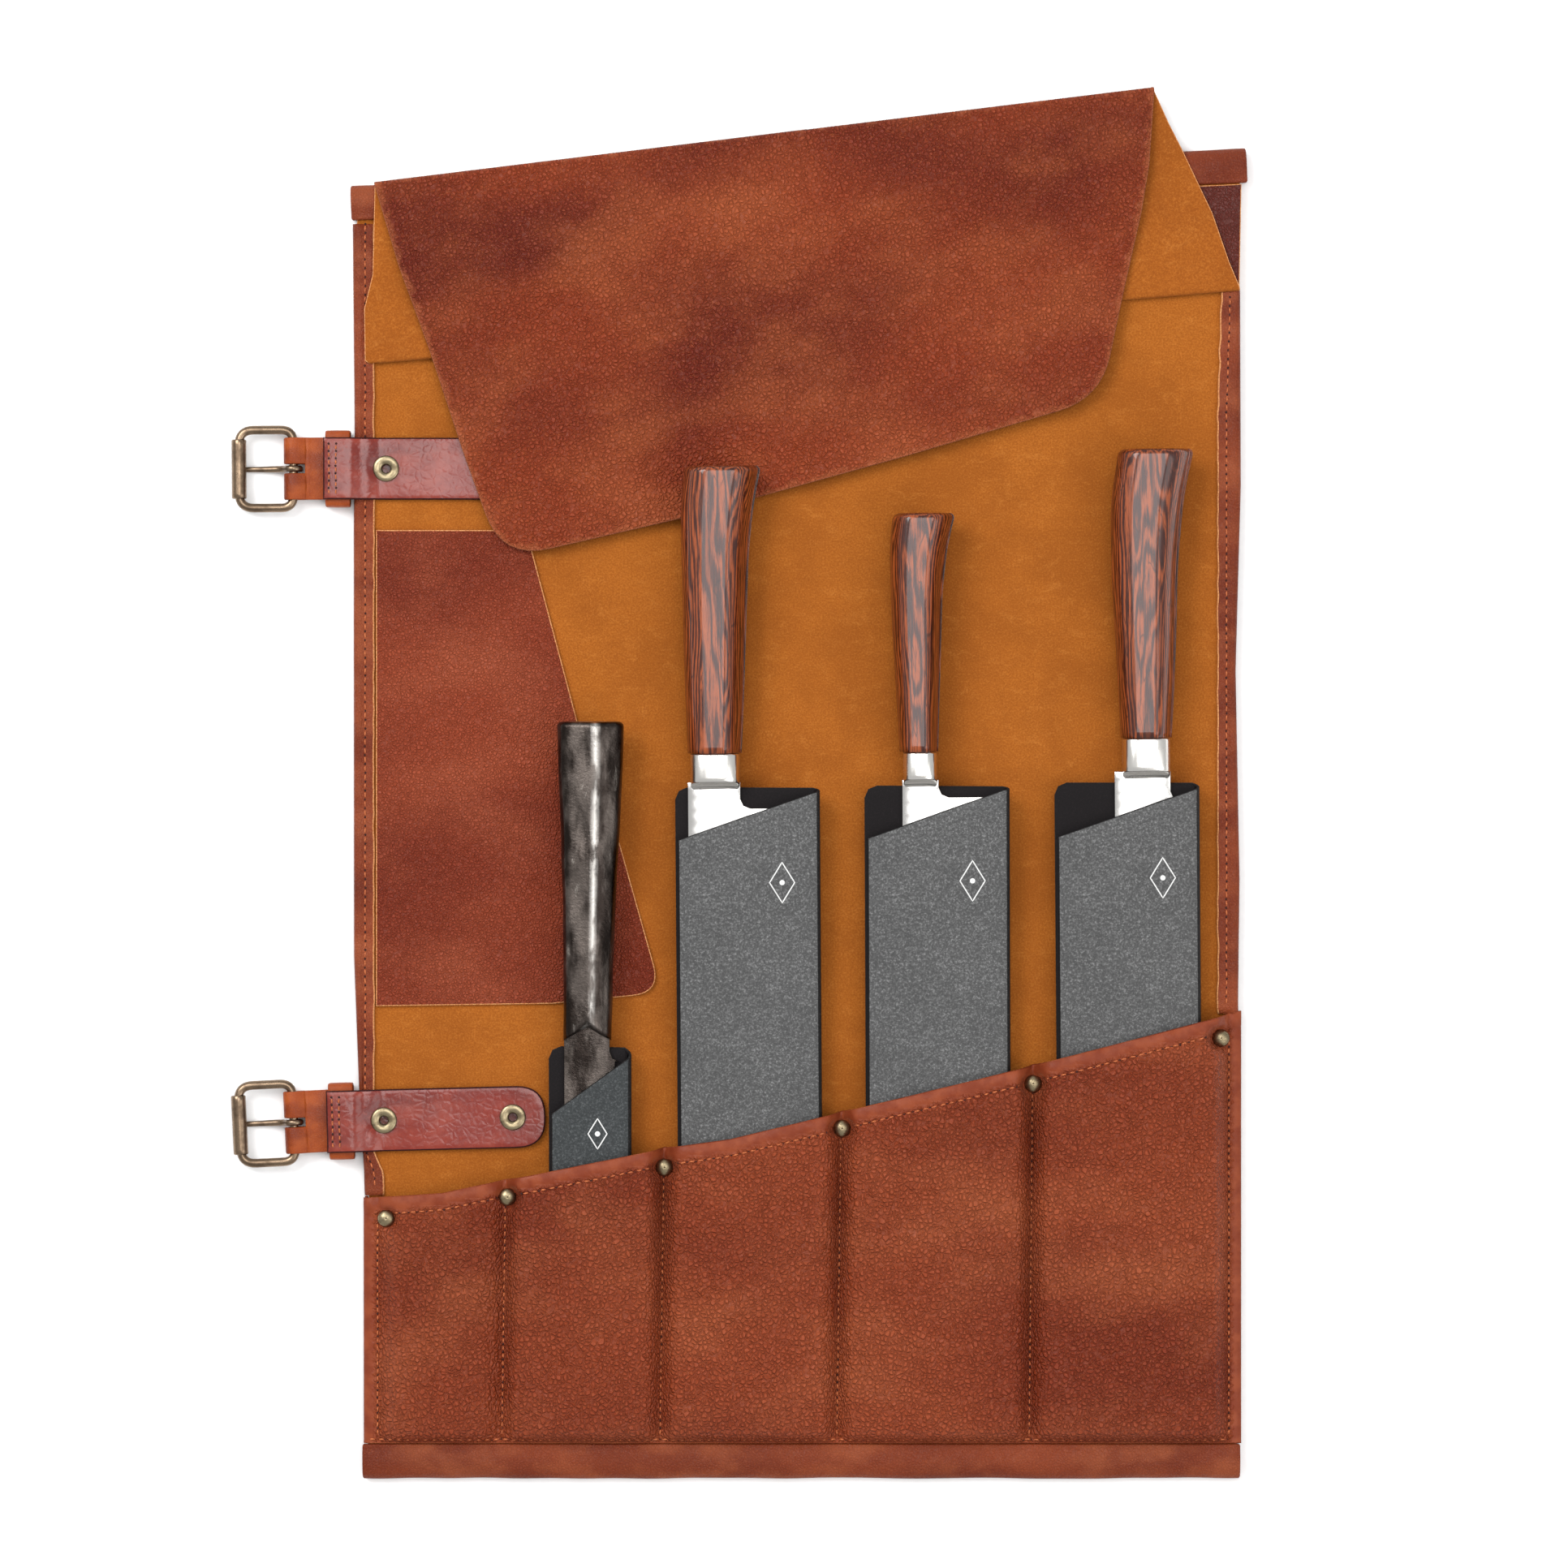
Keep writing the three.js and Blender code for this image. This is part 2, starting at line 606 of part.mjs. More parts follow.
function addKnifeSet(knife, number) {
  const group = new THREE.Group();
  group.position.set(knife.left, pocketFloor, firstLayer);
  group.rotation.set(THREE.MathUtils.degToRad(knife.tilt), 0, THREE.MathUtils.degToRad(knife.yaw));
  roll.add(group);
  add(`guard_${number}_shell`, guardShell(knife), knife.board, group);
  add(`guard_${number}_liner`, guardLiner(knife), blackLiner, group);
  if (knife.ferrule) {
    addWoodKnife(`knife_${number}`, knife, group);
  } else {
    addForgedKnife(`knife_${number}`, knife, group);
  }
}

addPanel();
addHem('hem_top', topHemStart, topHemLength, hemTurn);
addHem('hem_bottom', bottomHemStart, bottomHemLength, Math.PI);
addLeftTurn();
addRightTurn();
addFlaps();
addPocketFront();
addPocketRivets();
straps.forEach(addStrap);
knives.forEach((knife, i) => addKnifeSet(knife, i + 1));

export default roll;
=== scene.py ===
"""Looks of the opened leather knife roll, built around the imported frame.

Lengths in this file are millimetres in the part's own frame; meshes are written in metres.
"""

import math

import bpy
import numpy as np
from mathutils import Matrix, Vector
from mathutils.geometry import delaunay_2d_cdt


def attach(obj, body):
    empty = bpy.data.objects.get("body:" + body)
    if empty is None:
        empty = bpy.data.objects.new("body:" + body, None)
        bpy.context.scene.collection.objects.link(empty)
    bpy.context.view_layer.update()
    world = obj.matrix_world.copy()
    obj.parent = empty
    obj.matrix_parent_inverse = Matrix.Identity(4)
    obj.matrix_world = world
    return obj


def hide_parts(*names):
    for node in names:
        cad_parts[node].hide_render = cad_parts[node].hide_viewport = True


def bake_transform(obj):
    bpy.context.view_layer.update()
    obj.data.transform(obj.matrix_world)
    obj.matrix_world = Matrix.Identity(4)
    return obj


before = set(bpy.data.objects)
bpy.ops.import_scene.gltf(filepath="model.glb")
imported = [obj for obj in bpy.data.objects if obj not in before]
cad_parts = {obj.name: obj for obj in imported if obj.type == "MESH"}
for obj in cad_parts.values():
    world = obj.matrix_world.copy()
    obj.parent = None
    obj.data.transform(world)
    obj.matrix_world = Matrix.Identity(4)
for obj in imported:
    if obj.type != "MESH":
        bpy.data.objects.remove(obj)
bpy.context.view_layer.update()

MM = 0.001


# Small maths


def unit(v):
    """Vector, or rows of vectors, of length 1."""
    v = np.asarray(v, float)
    return v / np.linalg.norm(v, axis=-1, keepdims=True)


def smooth(t):
    t = np.clip(t, 0, 1)
    return t * t * (3 - 2 * t)


def ripple(x, y, size, seed, stretch=1.0):
    """Smooth random field, about -1 to 1, with features of the given size."""
    draw = np.random.default_rng(seed)
    total = np.zeros(np.broadcast(x, y).shape)
    for _ in range(9):
        turn = draw.uniform(0, math.tau)
        k = math.tau / (size * draw.uniform(0.7, 1.9))
        phase = draw.uniform(0, math.tau)
        total += np.sin(k * (x * math.cos(turn) + y * math.sin(turn) * stretch) + phase)
    return total / 4.0


def along(points, x):
    """Height of a polyline at x."""
    points = sorted(points)
    return np.interp(x, [p[0] for p in points], [p[1] for p in points])


def segment_distance(xy, loop, closed=True):
    """Distance of each point from a polyline."""
    a = np.asarray(loop, float)
    b = np.roll(a, -1, 0) if closed else a[1:]
    a = a if closed else a[:-1]
    best = np.full(len(xy), 1e9)
    for p, q in zip(a, b):
        d = q - p
        t = np.clip(((xy - p) @ d) / max(d @ d, 1e-9), 0, 1)
        best = np.minimum(best, np.hypot(*(xy - p - t[:, None] * d).T))
    return best


def inside(xy, loop):
    """True for the points inside a closed outline."""
    found = np.zeros(len(xy), bool)
    for p, q in zip(loop, np.roll(loop, -1, 0)):
        crosses = (p[1] > xy[:, 1]) != (q[1] > xy[:, 1])
        rise = q[1] - p[1] if abs(q[1] - p[1]) > 1e-12 else 1e-12
        at = p[0] + (xy[:, 1] - p[1]) * (q[0] - p[0]) / rise
        found ^= crosses & (xy[:, 0] < at)
    return found


def curve(start, pull, end, steps):
    """Points of a quadratic curve at the given steps from 0 to 1."""
    start, pull, end = np.array([start, pull, end], float)
    return [(1 - t) ** 2 * start + 2 * t * (1 - t) * pull + t * t * end for t in steps]


def round_about(x, y, radius, angles):
    """Points of a circle at the given angles."""
    return [(x + radius * math.cos(a), y + radius * math.sin(a)) for a in angles]


def circle(x, y, radius, count=18):
    return round_about(x, y, radius, np.arange(count) * math.tau / count)


def rounded(points):
    """Closed outline; a third number in a point rounds that corner."""
    loop = []
    count = len(points)
    for i, point in enumerate(points):
        corner = np.array(point[:2], float)
        radius = point[2] if len(point) > 2 else 0
        if not radius:
            loop.append(corner)
            continue
        before = corner + unit(np.array(points[i - 1][:2]) - corner) * radius
        after = corner + unit(np.array(points[(i + 1) % count][:2]) - corner) * radius
        loop += curve(before, corner, after, np.linspace(0, 1, 9))
    return np.array(loop)


def spaced(loop, step, closed=True):
    """Polyline with points about a step apart, its corners kept."""
    loop = np.asarray(loop, float)
    ends = np.roll(loop, -1, 0) if closed else loop[1:]
    found = []
    for p, q in zip(loop, ends):
        count = max(1, round(np.linalg.norm(q - p) / step))
        found += [p + (q - p) * i / count for i in range(count)]
    if not closed:
        found.append(loop[-1])
    return np.array(found)


def area_of(loop):
    x, y = np.asarray(loop).T
    return 0.5 * float(np.sum(x * np.roll(y, -1) - np.roll(x, -1) * y))


def inward(loop):
    """Inward normals of a counterclockwise outline."""
    tangent = unit(np.roll(loop, -1, 0) - np.roll(loop, 1, 0))
    return np.stack([-tangent[:, 1], tangent[:, 0]], 1)


def placed(x, y, z=0.0, turn=0.0, tilt=0.0):
    """Matrix in millimetres: a yaw in degrees, then a tilt about X, then a shift."""
    return (
        Matrix.Translation((x, y, z))
        @ Matrix.Rotation(math.radians(tilt), 4, "X")
        @ Matrix.Rotation(math.radians(turn), 4, "Z")
    )


# Mesh makers


def mark(mesh, name, values, kind="FLOAT", key="value"):
    """Numbers kept at the mesh's points for the materials."""
    attribute = mesh.attributes.new(name, kind, "POINT")
    attribute.data.foreach_set(key, np.asarray(values, np.float32).ravel())


def linked(name, data):
    obj = bpy.data.objects.new(name, data)
    bpy.context.scene.collection.objects.link(obj)
    return obj


def new_mesh(name, points, faces, zones, materials, rest=None, rim=None, matrix=None):
    """Object from points in millimetres, with its rest coordinates kept for the materials."""
    points = np.asarray(points, float)
    rest = points if rest is None else np.asarray(rest, float)
    if matrix is not None:
        m = np.array(matrix)
        points = points @ m[:3, :3].T + m[:3, 3]
    mesh = bpy.data.meshes.new(name)
    mesh.from_pydata((points * MM).tolist(), [], [list(map(int, f)) for f in faces])
    for material in materials:
        mesh.materials.append(material)
    mesh.polygons.foreach_set("material_index", np.asarray(zones, np.int32))
    mesh.polygons.foreach_set("use_smooth", np.ones(len(faces), bool))
    mark(mesh, "rest", rest * MM, "FLOAT_VECTOR", "vector")
    mark(mesh, "rim", np.full(len(points), 20.0) if rim is None else rim)
    mesh.update()
    mesh.validate()
    return linked(name, mesh)


BEND_STEPS = 6


def bend_levels(bend):
    return np.linspace(0, bend["arc"], BEND_STEPS + 1)


def beyond(bend, xy):
    """How far points lie past the start of a bend."""
    return (np.asarray(xy) - bend["start"]) @ bend["outward"]


def with_bend(loop, bend):
    """Outline with a point wherever it crosses one of the lines of the bend."""
    points = []
    for p, q in zip(loop, np.roll(loop, -1, axis=0)):
        points.append(p)
        here, there = beyond(bend, p), beyond(bend, q)
        if abs(there - here) > 1e-6:
            crossed = (bend_levels(bend) - here) / (there - here)
            points += [p + t * (q - p) for t in sorted(crossed) if 0.12 < t < 0.88]
    return np.array(points)


def tiled(loops, step, bend=None):
    """Even triangles inside the first outline and outside the others."""
    outer = loops[0]
    low, high = outer.min(0), outer.max(0)
    rows = np.arange(low[1], high[1], step * 0.866)
    grid = []
    for i, y in enumerate(rows):
        xs = np.arange(low[0] + (i % 2) * step / 2, high[0], step)
        grid.append(np.stack([xs, np.full(len(xs), y)], 1))
    grid = np.concatenate(grid)
    keep = inside(grid, outer) & (segment_distance(grid, outer) > step * 0.55)
    for hole in loops[1:]:
        keep &= ~inside(grid, hole) & (segment_distance(grid, hole) > step * 0.45)
    grid = grid[keep]
    if bend:
        past = beyond(bend, grid)
        grid = grid[(past < -0.5 * step) | (past > bend["arc"] + 0.5 * step)]
        along_bend = bend["direction"] * np.arange(0, 500, step)[:, None]
        rows = np.concatenate([bend["start"] + bend["outward"] * d + along_bend
                               for d in bend_levels(bend)])
        clear = inside(rows, outer) & (segment_distance(rows, outer) > 0.3)
        grid = np.concatenate([grid, rows[clear]])
    points = np.concatenate(list(loops) + [grid])
    edges = []
    first = 0
    for loop in loops:
        n = len(loop)
        edges += [(first + i, first + (i + 1) % n) for i in range(n)]
        first += n
    result = delaunay_2d_cdt([Vector(p) for p in points], edges, [], 0, 1e-6)
    where = np.array([tuple(p) for p in result[0]])
    source = [origin[0] if origin else -1 for origin in result[3]]
    faces = np.array([f for f in result[2] if len(f) == 3])
    middle = where[faces].mean(1)
    one, two = where[faces[:, 1]] - where[faces[:, 0]], where[faces[:, 2]] - where[faces[:, 0]]
    keep = inside(middle, outer) & (np.abs(one[:, 0] * two[:, 1] - one[:, 1] * two[:, 0]) > 0.01)
    for hole in loops[1:]:
        keep &= ~inside(middle, hole)
    return where, faces[keep], source


def leaf(name, outline, step, surface, materials, rim=0.35, holes=(), matrix=None, bend=None,
         bend_zone=0):
    """Sheet of leather with two faces and a rounded cut edge.

    surface(xy) gives the middle of the sheet, its normal and half its thickness.
    materials are those of the +normal face, the other face and the cut edge; bend_zone is
    the one that the +normal face has round its bend.
    """
    loops = [spaced(outline, step)]
    if bend:
        loops[0] = with_bend(loops[0], bend)
    if area_of(loops[0]) < 0:
        loops[0] = loops[0][::-1]
    for hole in holes:
        loops.append(np.asarray(hole)[:: -1 if area_of(hole) > 0 else 1])
    inner = [loop + inward(loop) * rim for loop in loops]
    flat, faces, source = tiled(inner, step, bend)
    count = len(flat)
    lookup = {s: i for i, s in enumerate(source) if s >= 0}
    middle, normal, half = surface(flat)
    points = [middle + normal * half[:, None], middle - normal * half[:, None]]
    domain = [flat, flat]
    all_faces = [faces, faces[:, ::-1] + count]
    upper = np.zeros(len(faces), int)
    if bend:
        past = beyond(bend, flat[faces].mean(1))
        upper[(past > bend["arc"] * 0.17) & (past < bend["arc"])] = bend_zone
    zones = [upper, np.ones(len(faces), int)]
    total = 2 * count
    first = 0
    for loop, narrow in zip(loops, inner):
        n = len(loop)
        top = np.array([lookup[first + i] for i in range(n)])
        first += n
        rings = [top]
        for angle in (35, 70, 110, 145):
            out = math.sin(math.radians(angle)) ** 0.6
            up = math.cos(math.radians(angle))
            up = math.copysign(abs(up) ** 0.6, up)
            xy = narrow + (loop - narrow) * out
            m, nrm, h = surface(xy)
            points.append(m + nrm * (h * up)[:, None])
            domain.append(xy)
            rings.append(np.arange(total, total + n))
            total += n
        rings.append(top + count)
        for a, b in zip(rings, rings[1:]):
            quads = np.stack([a, b, np.roll(b, -1), np.roll(a, -1)], 1)
            all_faces.append(quads)
            zones.append(np.full(n, 2))
    points = np.concatenate(points)
    domain = np.concatenate(domain)
    rest = np.column_stack([domain, points[:, 2]])
    distance = segment_distance(domain, loops[0])
    face_list = [f for group in all_faces for f in group]
    return new_mesh(name, points, face_list, np.concatenate(zones), materials, rest, distance, matrix)


def skin(n, m, closed=False, base=0):
    """Faces over n rings of m points, capped unless the rings close."""
    index = base + np.arange(n * m).reshape(n, m)
    ahead = np.roll(index, -1, 0) if closed else index[1:]
    faces = [(a[k], a[(k + 1) % m], b[(k + 1) % m], b[k]) for a, b in zip(index, ahead) for k in range(m)]
    return faces if closed else faces + [tuple(index[0][::-1]), tuple(index[-1])]


def loft(name, rings, materials, zones=None, closed=False, matrix=None):
    """Skin through rings with equally many points each, listed along the piece.

    zones gives the material of each strip between two points of the rings.
    """
    rings = np.asarray(rings, float)
    faces = skin(*rings.shape[:2], closed)
    zones = zones or [0]
    found = [zones[i % len(zones)] for i in range(len(faces))]
    if not closed:
        found[-2:] = [zones[0]] * 2
    obj = new_mesh(name, rings.reshape(-1, 3), faces, found, materials, matrix=matrix)
    face_outwards(obj)
    return obj


def face_outwards(obj):
    """Turn the faces of a closed mesh outwards."""
    mesh = obj.data
    volume = 0.0
    co = np.array([v.co for v in mesh.vertices])
    for polygon in mesh.polygons:
        v = list(polygon.vertices)
        for i in range(1, len(v) - 1):
            volume += np.dot(co[v[0]], np.cross(co[v[i]], co[v[i + 1]]))
    if volume < 0:
        mesh.flip_normals()


def turned(name, profile, materials, centre, sides=40, axis="Z"):
    """Profile of (radius, height) turned about an axis through a centre."""
    rings = []
    for a in np.arange(sides) * math.tau / sides:
        ring = [(r * math.cos(a), r * math.sin(a), h) for r, h in profile]
        rings.append(ring if axis == "Z" else [(x, h, y) for x, y, h in ring])
    return loft(name, rings, materials, closed=True, matrix=centre)


def fine_profile(profile, step):
    """Profile with points about a step apart."""
    return [tuple(p) for p in spaced(np.array(profile, float), step)]


def joined(name, objects):
    """One object from several that share their materials."""
    for obj in bpy.context.selected_objects:
        obj.select_set(False)
    for obj in objects:
        obj.select_set(True)
    bpy.context.view_layer.objects.active = objects[0]
    bpy.ops.object.join()
    objects[0].name = name
    return objects[0]


def fitted(obj, body, slot, *nodes):
    """The piece rides on a body, if one is given, and stands for CAD nodes."""
    if body:
        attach(obj, body)
    if nodes:
        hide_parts(*nodes)


# Materials


def srgb(red, green, blue):
    def linear(c):
        c /= 255
        return c / 12.92 if c <= 0.04045 else ((c + 0.055) / 1.055) ** 2.4

    return (linear(red), linear(green), linear(blue), 1.0)


class Look:
    """Principled material with short calls for its nodes."""

    def __init__(self, name, **uniform):
        self.material = bpy.data.materials.new(name)
        self.material.use_nodes = True
        self.tree = self.material.node_tree
        self.tree.nodes.clear()
        out = self.tree.nodes.new("ShaderNodeOutputMaterial")
        self.shader = self.tree.nodes.new("ShaderNodeBsdfPrincipled")
        self.tree.links.new(self.shader.outputs[0], out.inputs[0])
        for key, value in uniform.items():
            self.shader.inputs[key.replace("_", " ")].default_value = value

    def feed(self, socket, value):
        if isinstance(value, bpy.types.NodeSocket):
            self.tree.links.new(value, socket)
        else:
            socket.default_value = value

    def node(self, kind, inputs=None, output=0, **settings):
        """One output of a new node."""
        made = self.tree.nodes.new("ShaderNode" + kind)
        for key, value in settings.items():
            setattr(made, key, value)
        for key, value in (inputs or {}).items():
            self.feed(made.inputs[key], value)
        return made.outputs[output]

    def marked(self, name, output="Fac"):
        """An attribute of the mesh's points."""
        return self.node("Attribute", output=output, attribute_name=name)

    def rest(self):
        return self.marked("rest", "Vector")

    def stretched(self, vector, x, y, z):
        return self.node("VectorMath", {0: vector, 1: (x, y, z)}, operation="MULTIPLY")

    def warped(self, vector, size, amount):
        """The coordinates moved about by a noise of the given size, both in millimetres."""
        noise = self.node("TexNoise", {"Vector": vector, "Scale": 1000 / size, "Detail": 1.0}, "Color")
        centred = self.node("VectorMath", {0: noise, 1: (0.5, 0.5, 0.5)}, operation="SUBTRACT")
        moved = self.node("VectorMath", {0: centred, "Scale": 2 * amount * MM}, operation="SCALE")
        return self.node("VectorMath", {0: vector, 1: moved}, operation="ADD")

    def noise(self, vector, size, detail=2.0, rough=0.5, distort=0.0):
        return self.node("TexNoise", {"Vector": vector, "Scale": 1000 / size, "Detail": detail,
                                      "Roughness": rough, "Distortion": distort}, "Fac")

    def cells(self, vector, size):
        """Distance to the edges of random cells."""
        return self.node("TexVoronoi", {"Vector": vector, "Scale": 1000 / size}, "Distance",
                         feature="DISTANCE_TO_EDGE")

    def ranged(self, value, low, high, to_low=0.0, to_high=1.0):
        return self.node("MapRange", {"Value": value, "From Min": low, "From Max": high, "To Min": to_low,
                                      "To Max": to_high}, interpolation_type="SMOOTHSTEP")

    def math(self, operation, a, b=0.0):
        return self.node("Math", {0: a, 1: b}, operation=operation)

    def plus(self, a, b, share):
        """a and a share of b."""
        return self.math("ADD", a, self.math("MULTIPLY", b, share))

    def mix(self, factor, *tones):
        """Two tones mixed; a tone of three numbers is an 8-bit sRGB colour."""
        a, b = (srgb(*t) if isinstance(t, tuple) and len(t) == 3 else t for t in tones)
        return self.node("Mix", {0: factor, 6: a, 7: b}, 2, data_type="RGBA")

    def tint(self, tone, colour, value, *reach):
        """The tone turned towards a colour where the value passes through a range."""
        return self.mix(self.ranged(value, *reach), tone, colour)

    def bump(self, height, depth, strength=1.0):
        return self.node("Bump", {"Height": height, "Distance": depth * MM, "Strength": strength})

    def use(self, **sockets):
        for key, value in sockets.items():
            self.feed(self.shader.inputs[key.replace("_", " ")], value)
        return self.material


def grain_look(name, dark, middle, light, grain=1.6, depth=0.45, rough=0.46, patch=55.0,
               worn=None, coat=0.0, gloss=0.16, crease=0.5, smooth_part=None):
    """Full-grain leather: tanned patches, pebbled cells with painted shade in their creases and painted
    highlights on their grit, and wear at its edges.

    smooth_part is the colour of the part that the attribute "turned" marks, where the
    leather is stretched smooth over a fold.
    """
    look = Look(name, Specular_IOR_Level=gloss, Coat_Weight=coat, Coat_Roughness=0.22)
    at = look.rest()
    wide = look.noise(look.stretched(at, 0.6, 1.25, 1), patch, 1.5, 0.45, 0.3)
    tone = look.tint(dark, middle, wide, 0.3, 0.66)
    spots = look.noise(look.stretched(at, 0.7, 1.1, 1), patch * 0.42, 2.0, 0.5)
    tone = look.tint(tone, light, spots, 0.38, 0.8, 0.0, 0.6)
    bent = look.warped(at, grain * 3.0, grain * 0.6)
    edge = look.cells(bent, grain)
    pebble = look.ranged(edge, 0.0, 0.28)
    large = look.cells(look.warped(look.stretched(at, 1, 0.75, 1), 9.0, 2.2), grain * 2.6)
    fold = look.ranged(large, 0.0, 0.12)
    grit = look.noise(at, grain * 0.55, 2.0, 0.7)
    # Painted shade: the creases between the pebbled cells darken, as far as crease says.
    shade = look.ranged(edge, 0.0, 0.15, crease, 0.0)
    tone = look.mix(shade, tone, (0.045, 0.010, 0.005, 1))
    # Painted shade in the creases of the larger wrinkles too.
    tone = look.mix(look.ranged(large, 0.0, 0.09, crease * 0.22, 0.0), tone, (0.05, 0.011, 0.006, 1))
    # Painted highlights: lighter specks where the grit stands high.
    tone = look.tint(tone, light, grit, 0.5, 0.78, 0.0, 0.45)
    height = look.plus(look.plus(pebble, fold, 0.5), grit, 0.5)
    if smooth_part:
        turned_part = look.marked("turned")
        calm = look.mix(look.ranged(look.noise(at, 6.0, 3.0), 0.35, 0.7, 0.0, 0.35), smooth_part, light)
        tone = look.mix(turned_part, tone, calm)
        height = look.math("MULTIPLY", height, look.math("SUBTRACT", 1.05, turned_part))
    if worn:
        rim = look.marked("rim")
        nibbled = look.math("ADD", rim, look.ranged(look.noise(at, 4.0), 0.3, 0.7, -1.2, 1.2))
        tone = look.tint(tone, worn, nibbled, 0.4, 3.0, 0.5, 0.0)
    shine = look.ranged(look.noise(at, 9.0, 3.0), 0.3, 0.7, rough - 0.07, rough + 0.09)
    return look.use(Base_Color=tone, Roughness=shine, Normal=look.bump(height, depth, 0.9))


def suede_look(name, base, dark, light):
    """Flesh side of the leather: short nap with rubbed patches."""
    look = Look(name, Roughness=0.95, Specular_IOR_Level=0.15, Sheen_Weight=0.25)
    look.shader.inputs["Sheen Roughness"].default_value = 0.5
    look.shader.inputs["Sheen Tint"].default_value = srgb(225, 165, 90)
    at = look.rest()
    cloud = look.noise(look.warped(at, 40, 12), 34.0, 4.0, 0.62)
    tone = look.tint(base, dark, cloud, 0.34, 0.66, 0.5, 0.0)
    rubbed = look.noise(look.stretched(at, 0.6, 1.0, 1), 5.0, 4.0, 0.75, 0.6)
    tone = look.tint(tone, light, rubbed, 0.5, 0.78, 0.0, 0.42)
    nap = look.noise(at, 0.75, 3.0, 0.75)
    tone = look.tint(tone, dark, nap, 0.36, 0.6, 0.6, 0.0)
    tone = look.tint(tone, light, nap, 0.52, 0.75, 0.0, 0.4)
    height = look.plus(nap, rubbed, 0.8)
    return look.use(Base_Color=tone, Normal=look.bump(height, 0.35, 0.75))


def edge_look(name, base, dark):
    """Raw cut edge: compressed fibres in thin layers."""
    look = Look(name, Roughness=0.85, Specular_IOR_Level=0.2)
    at = look.rest()
    fibre = look.noise(at, 0.6, 3.0, 0.7)
    tone = look.tint(dark, base, fibre, 0.35, 0.65)
    return look.use(Base_Color=tone, Normal=look.bump(fibre, 0.2, 0.7))


def metal_look(name, base, patina, rough=0.3, size=6.0, amount=0.6, brushed=None,
               spread=0.16):
    look = Look(name, Metallic=1.0)
    at = look.rest()
    age = look.noise(at, size, 4.0, 0.65)
    tone = look.tint(base, patina, age, 0.42, 0.7, 0.0, amount)
    speck = look.noise(at, 0.6, 2.0, 0.6)
    tone = look.tint(tone, patina, speck, 0.62, 0.8, 0.0, amount * 0.7)
    shine = look.ranged(age, 0.3, 0.75, rough, rough + spread)
    if brushed:
        lines = look.noise(look.stretched(at, *brushed), 1.2, 3.0, 0.7)
        return look.use(Base_Color=tone, Roughness=shine, Normal=look.bump(lines, 0.004, 0.3))
    return look.use(Base_Color=tone, Roughness=shine, Normal=look.bump(speck, 0.012, 0.4))


def board_look(name, base, light, dark):
    """Coated guard board: matt, with a fine salt-and-pepper texture."""
    look = Look(name, Roughness=0.72, Specular_IOR_Level=0.2)
    at = look.rest()
    grit = look.noise(at, 0.85, 3.0, 0.8)
    tone = look.tint(base, dark, grit, 0.40, 0.55, 0.55, 0.0)
    tone = look.tint(tone, light, grit, 0.52, 0.72, 0.0, 0.75)
    cloud = look.noise(at, 25.0, 2.0)
    tone = look.tint(tone, dark, cloud, 0.35, 0.7, 0.0, 0.15)
    return look.use(Base_Color=tone, Normal=look.bump(grit, 0.16, 0.8))


def wood_look(name):
    """Resin-laminated wood: thin dyed sheets that the shaping cuts across."""
    look = Look(name, Specular_IOR_Level=0.3, Coat_Weight=0.5, Coat_Roughness=0.1)
    at = look.rest()
    bent = look.warped(look.stretched(at, 1, 0.13, 1), 7.0, 3.6)
    z = look.node("SeparateXYZ", {0: bent}, 2)
    wave = look.math("SINE", look.math("MULTIPLY", z, 1000 * math.tau / 1.1))
    fibre = look.noise(look.stretched(at, 1, 0.04, 1), 0.7, 3.0, 0.8)
    band = look.math("ADD", wave, look.ranged(fibre, 0.3, 0.7, -1.0, 1.0))
    tone = look.mix(look.ranged(band, -0.9, 1.3), (56, 18, 8), (150, 72, 32))
    ink = look.noise(look.stretched(bent, 0.9, 0.6, 1), 4.2, 2.0, 0.5, 0.5)
    vein = look.ranged(look.math("ABSOLUTE", look.math("SUBTRACT", ink, 0.5)), 0.0, 0.016, 0.7, 0.0)
    tone = look.mix(vein, tone, (34, 14, 9))
    tone = look.tint(tone, (60, 26, 18), ink, 0.54, 0.7, 0.0, 0.4)
    pore = look.noise(look.stretched(at, 1, 0.06, 1), 0.4, 2.0, 0.7)
    tone = look.tint(tone, (46, 18, 10), pore, 0.54, 0.68, 0.0, 0.65)
    return look.use(Base_Color=tone, Roughness=look.ranged(fibre, 0.3, 0.7, 0.26, 0.4),
                    Normal=look.bump(fibre, 0.05, 0.5))


def forged_look(name, base, scale_colour, bright):
    """Hand-forged steel: fire scale with hammered, rubbed-bright facets and a painted highlight along the
    grip's ridge.
    """
    look = Look(name, Metallic=1.0)
    at = look.rest()
    long = look.stretched(at, 1, 0.35, 1)
    crust = look.noise(long, 9.0, 4.0, 0.6)
    tone = look.tint(scale_colour, base, crust, 0.38, 0.62)
    rubbed = look.noise(long, 4.5, 5.0, 0.7, 0.4)
    tone = look.tint(tone, bright, rubbed, 0.6, 0.76, 0.0, 0.35)
    pits = look.noise(at, 1.4, 3.0, 0.7)
    tone = look.tint(tone, scale_colour, pits, 0.58, 0.72, 0.0, 0.3)
    # Painted highlight: a pale, patchy band along the grip's ridge.
    ridge = look.marked("ridge")
    ridge_highlight = look.math("MULTIPLY", ridge, look.ranged(look.noise(long, 5.0, 3.0, 0.6),
                                                           0.36, 0.56, 0.1, 0.8))
    tone = look.mix(ridge_highlight, tone, (0.70, 0.67, 0.63, 1))
    blows = look.noise(long, 8.0, 2.0, 0.5)
    height = look.math("ADD", look.math("MULTIPLY", blows, 3.5), pits)
    shine = look.ranged(crust, 0.3, 0.7, 0.26, 0.42)
    return look.use(Base_Color=tone, Roughness=shine, Normal=look.bump(height, 0.22, 0.8))


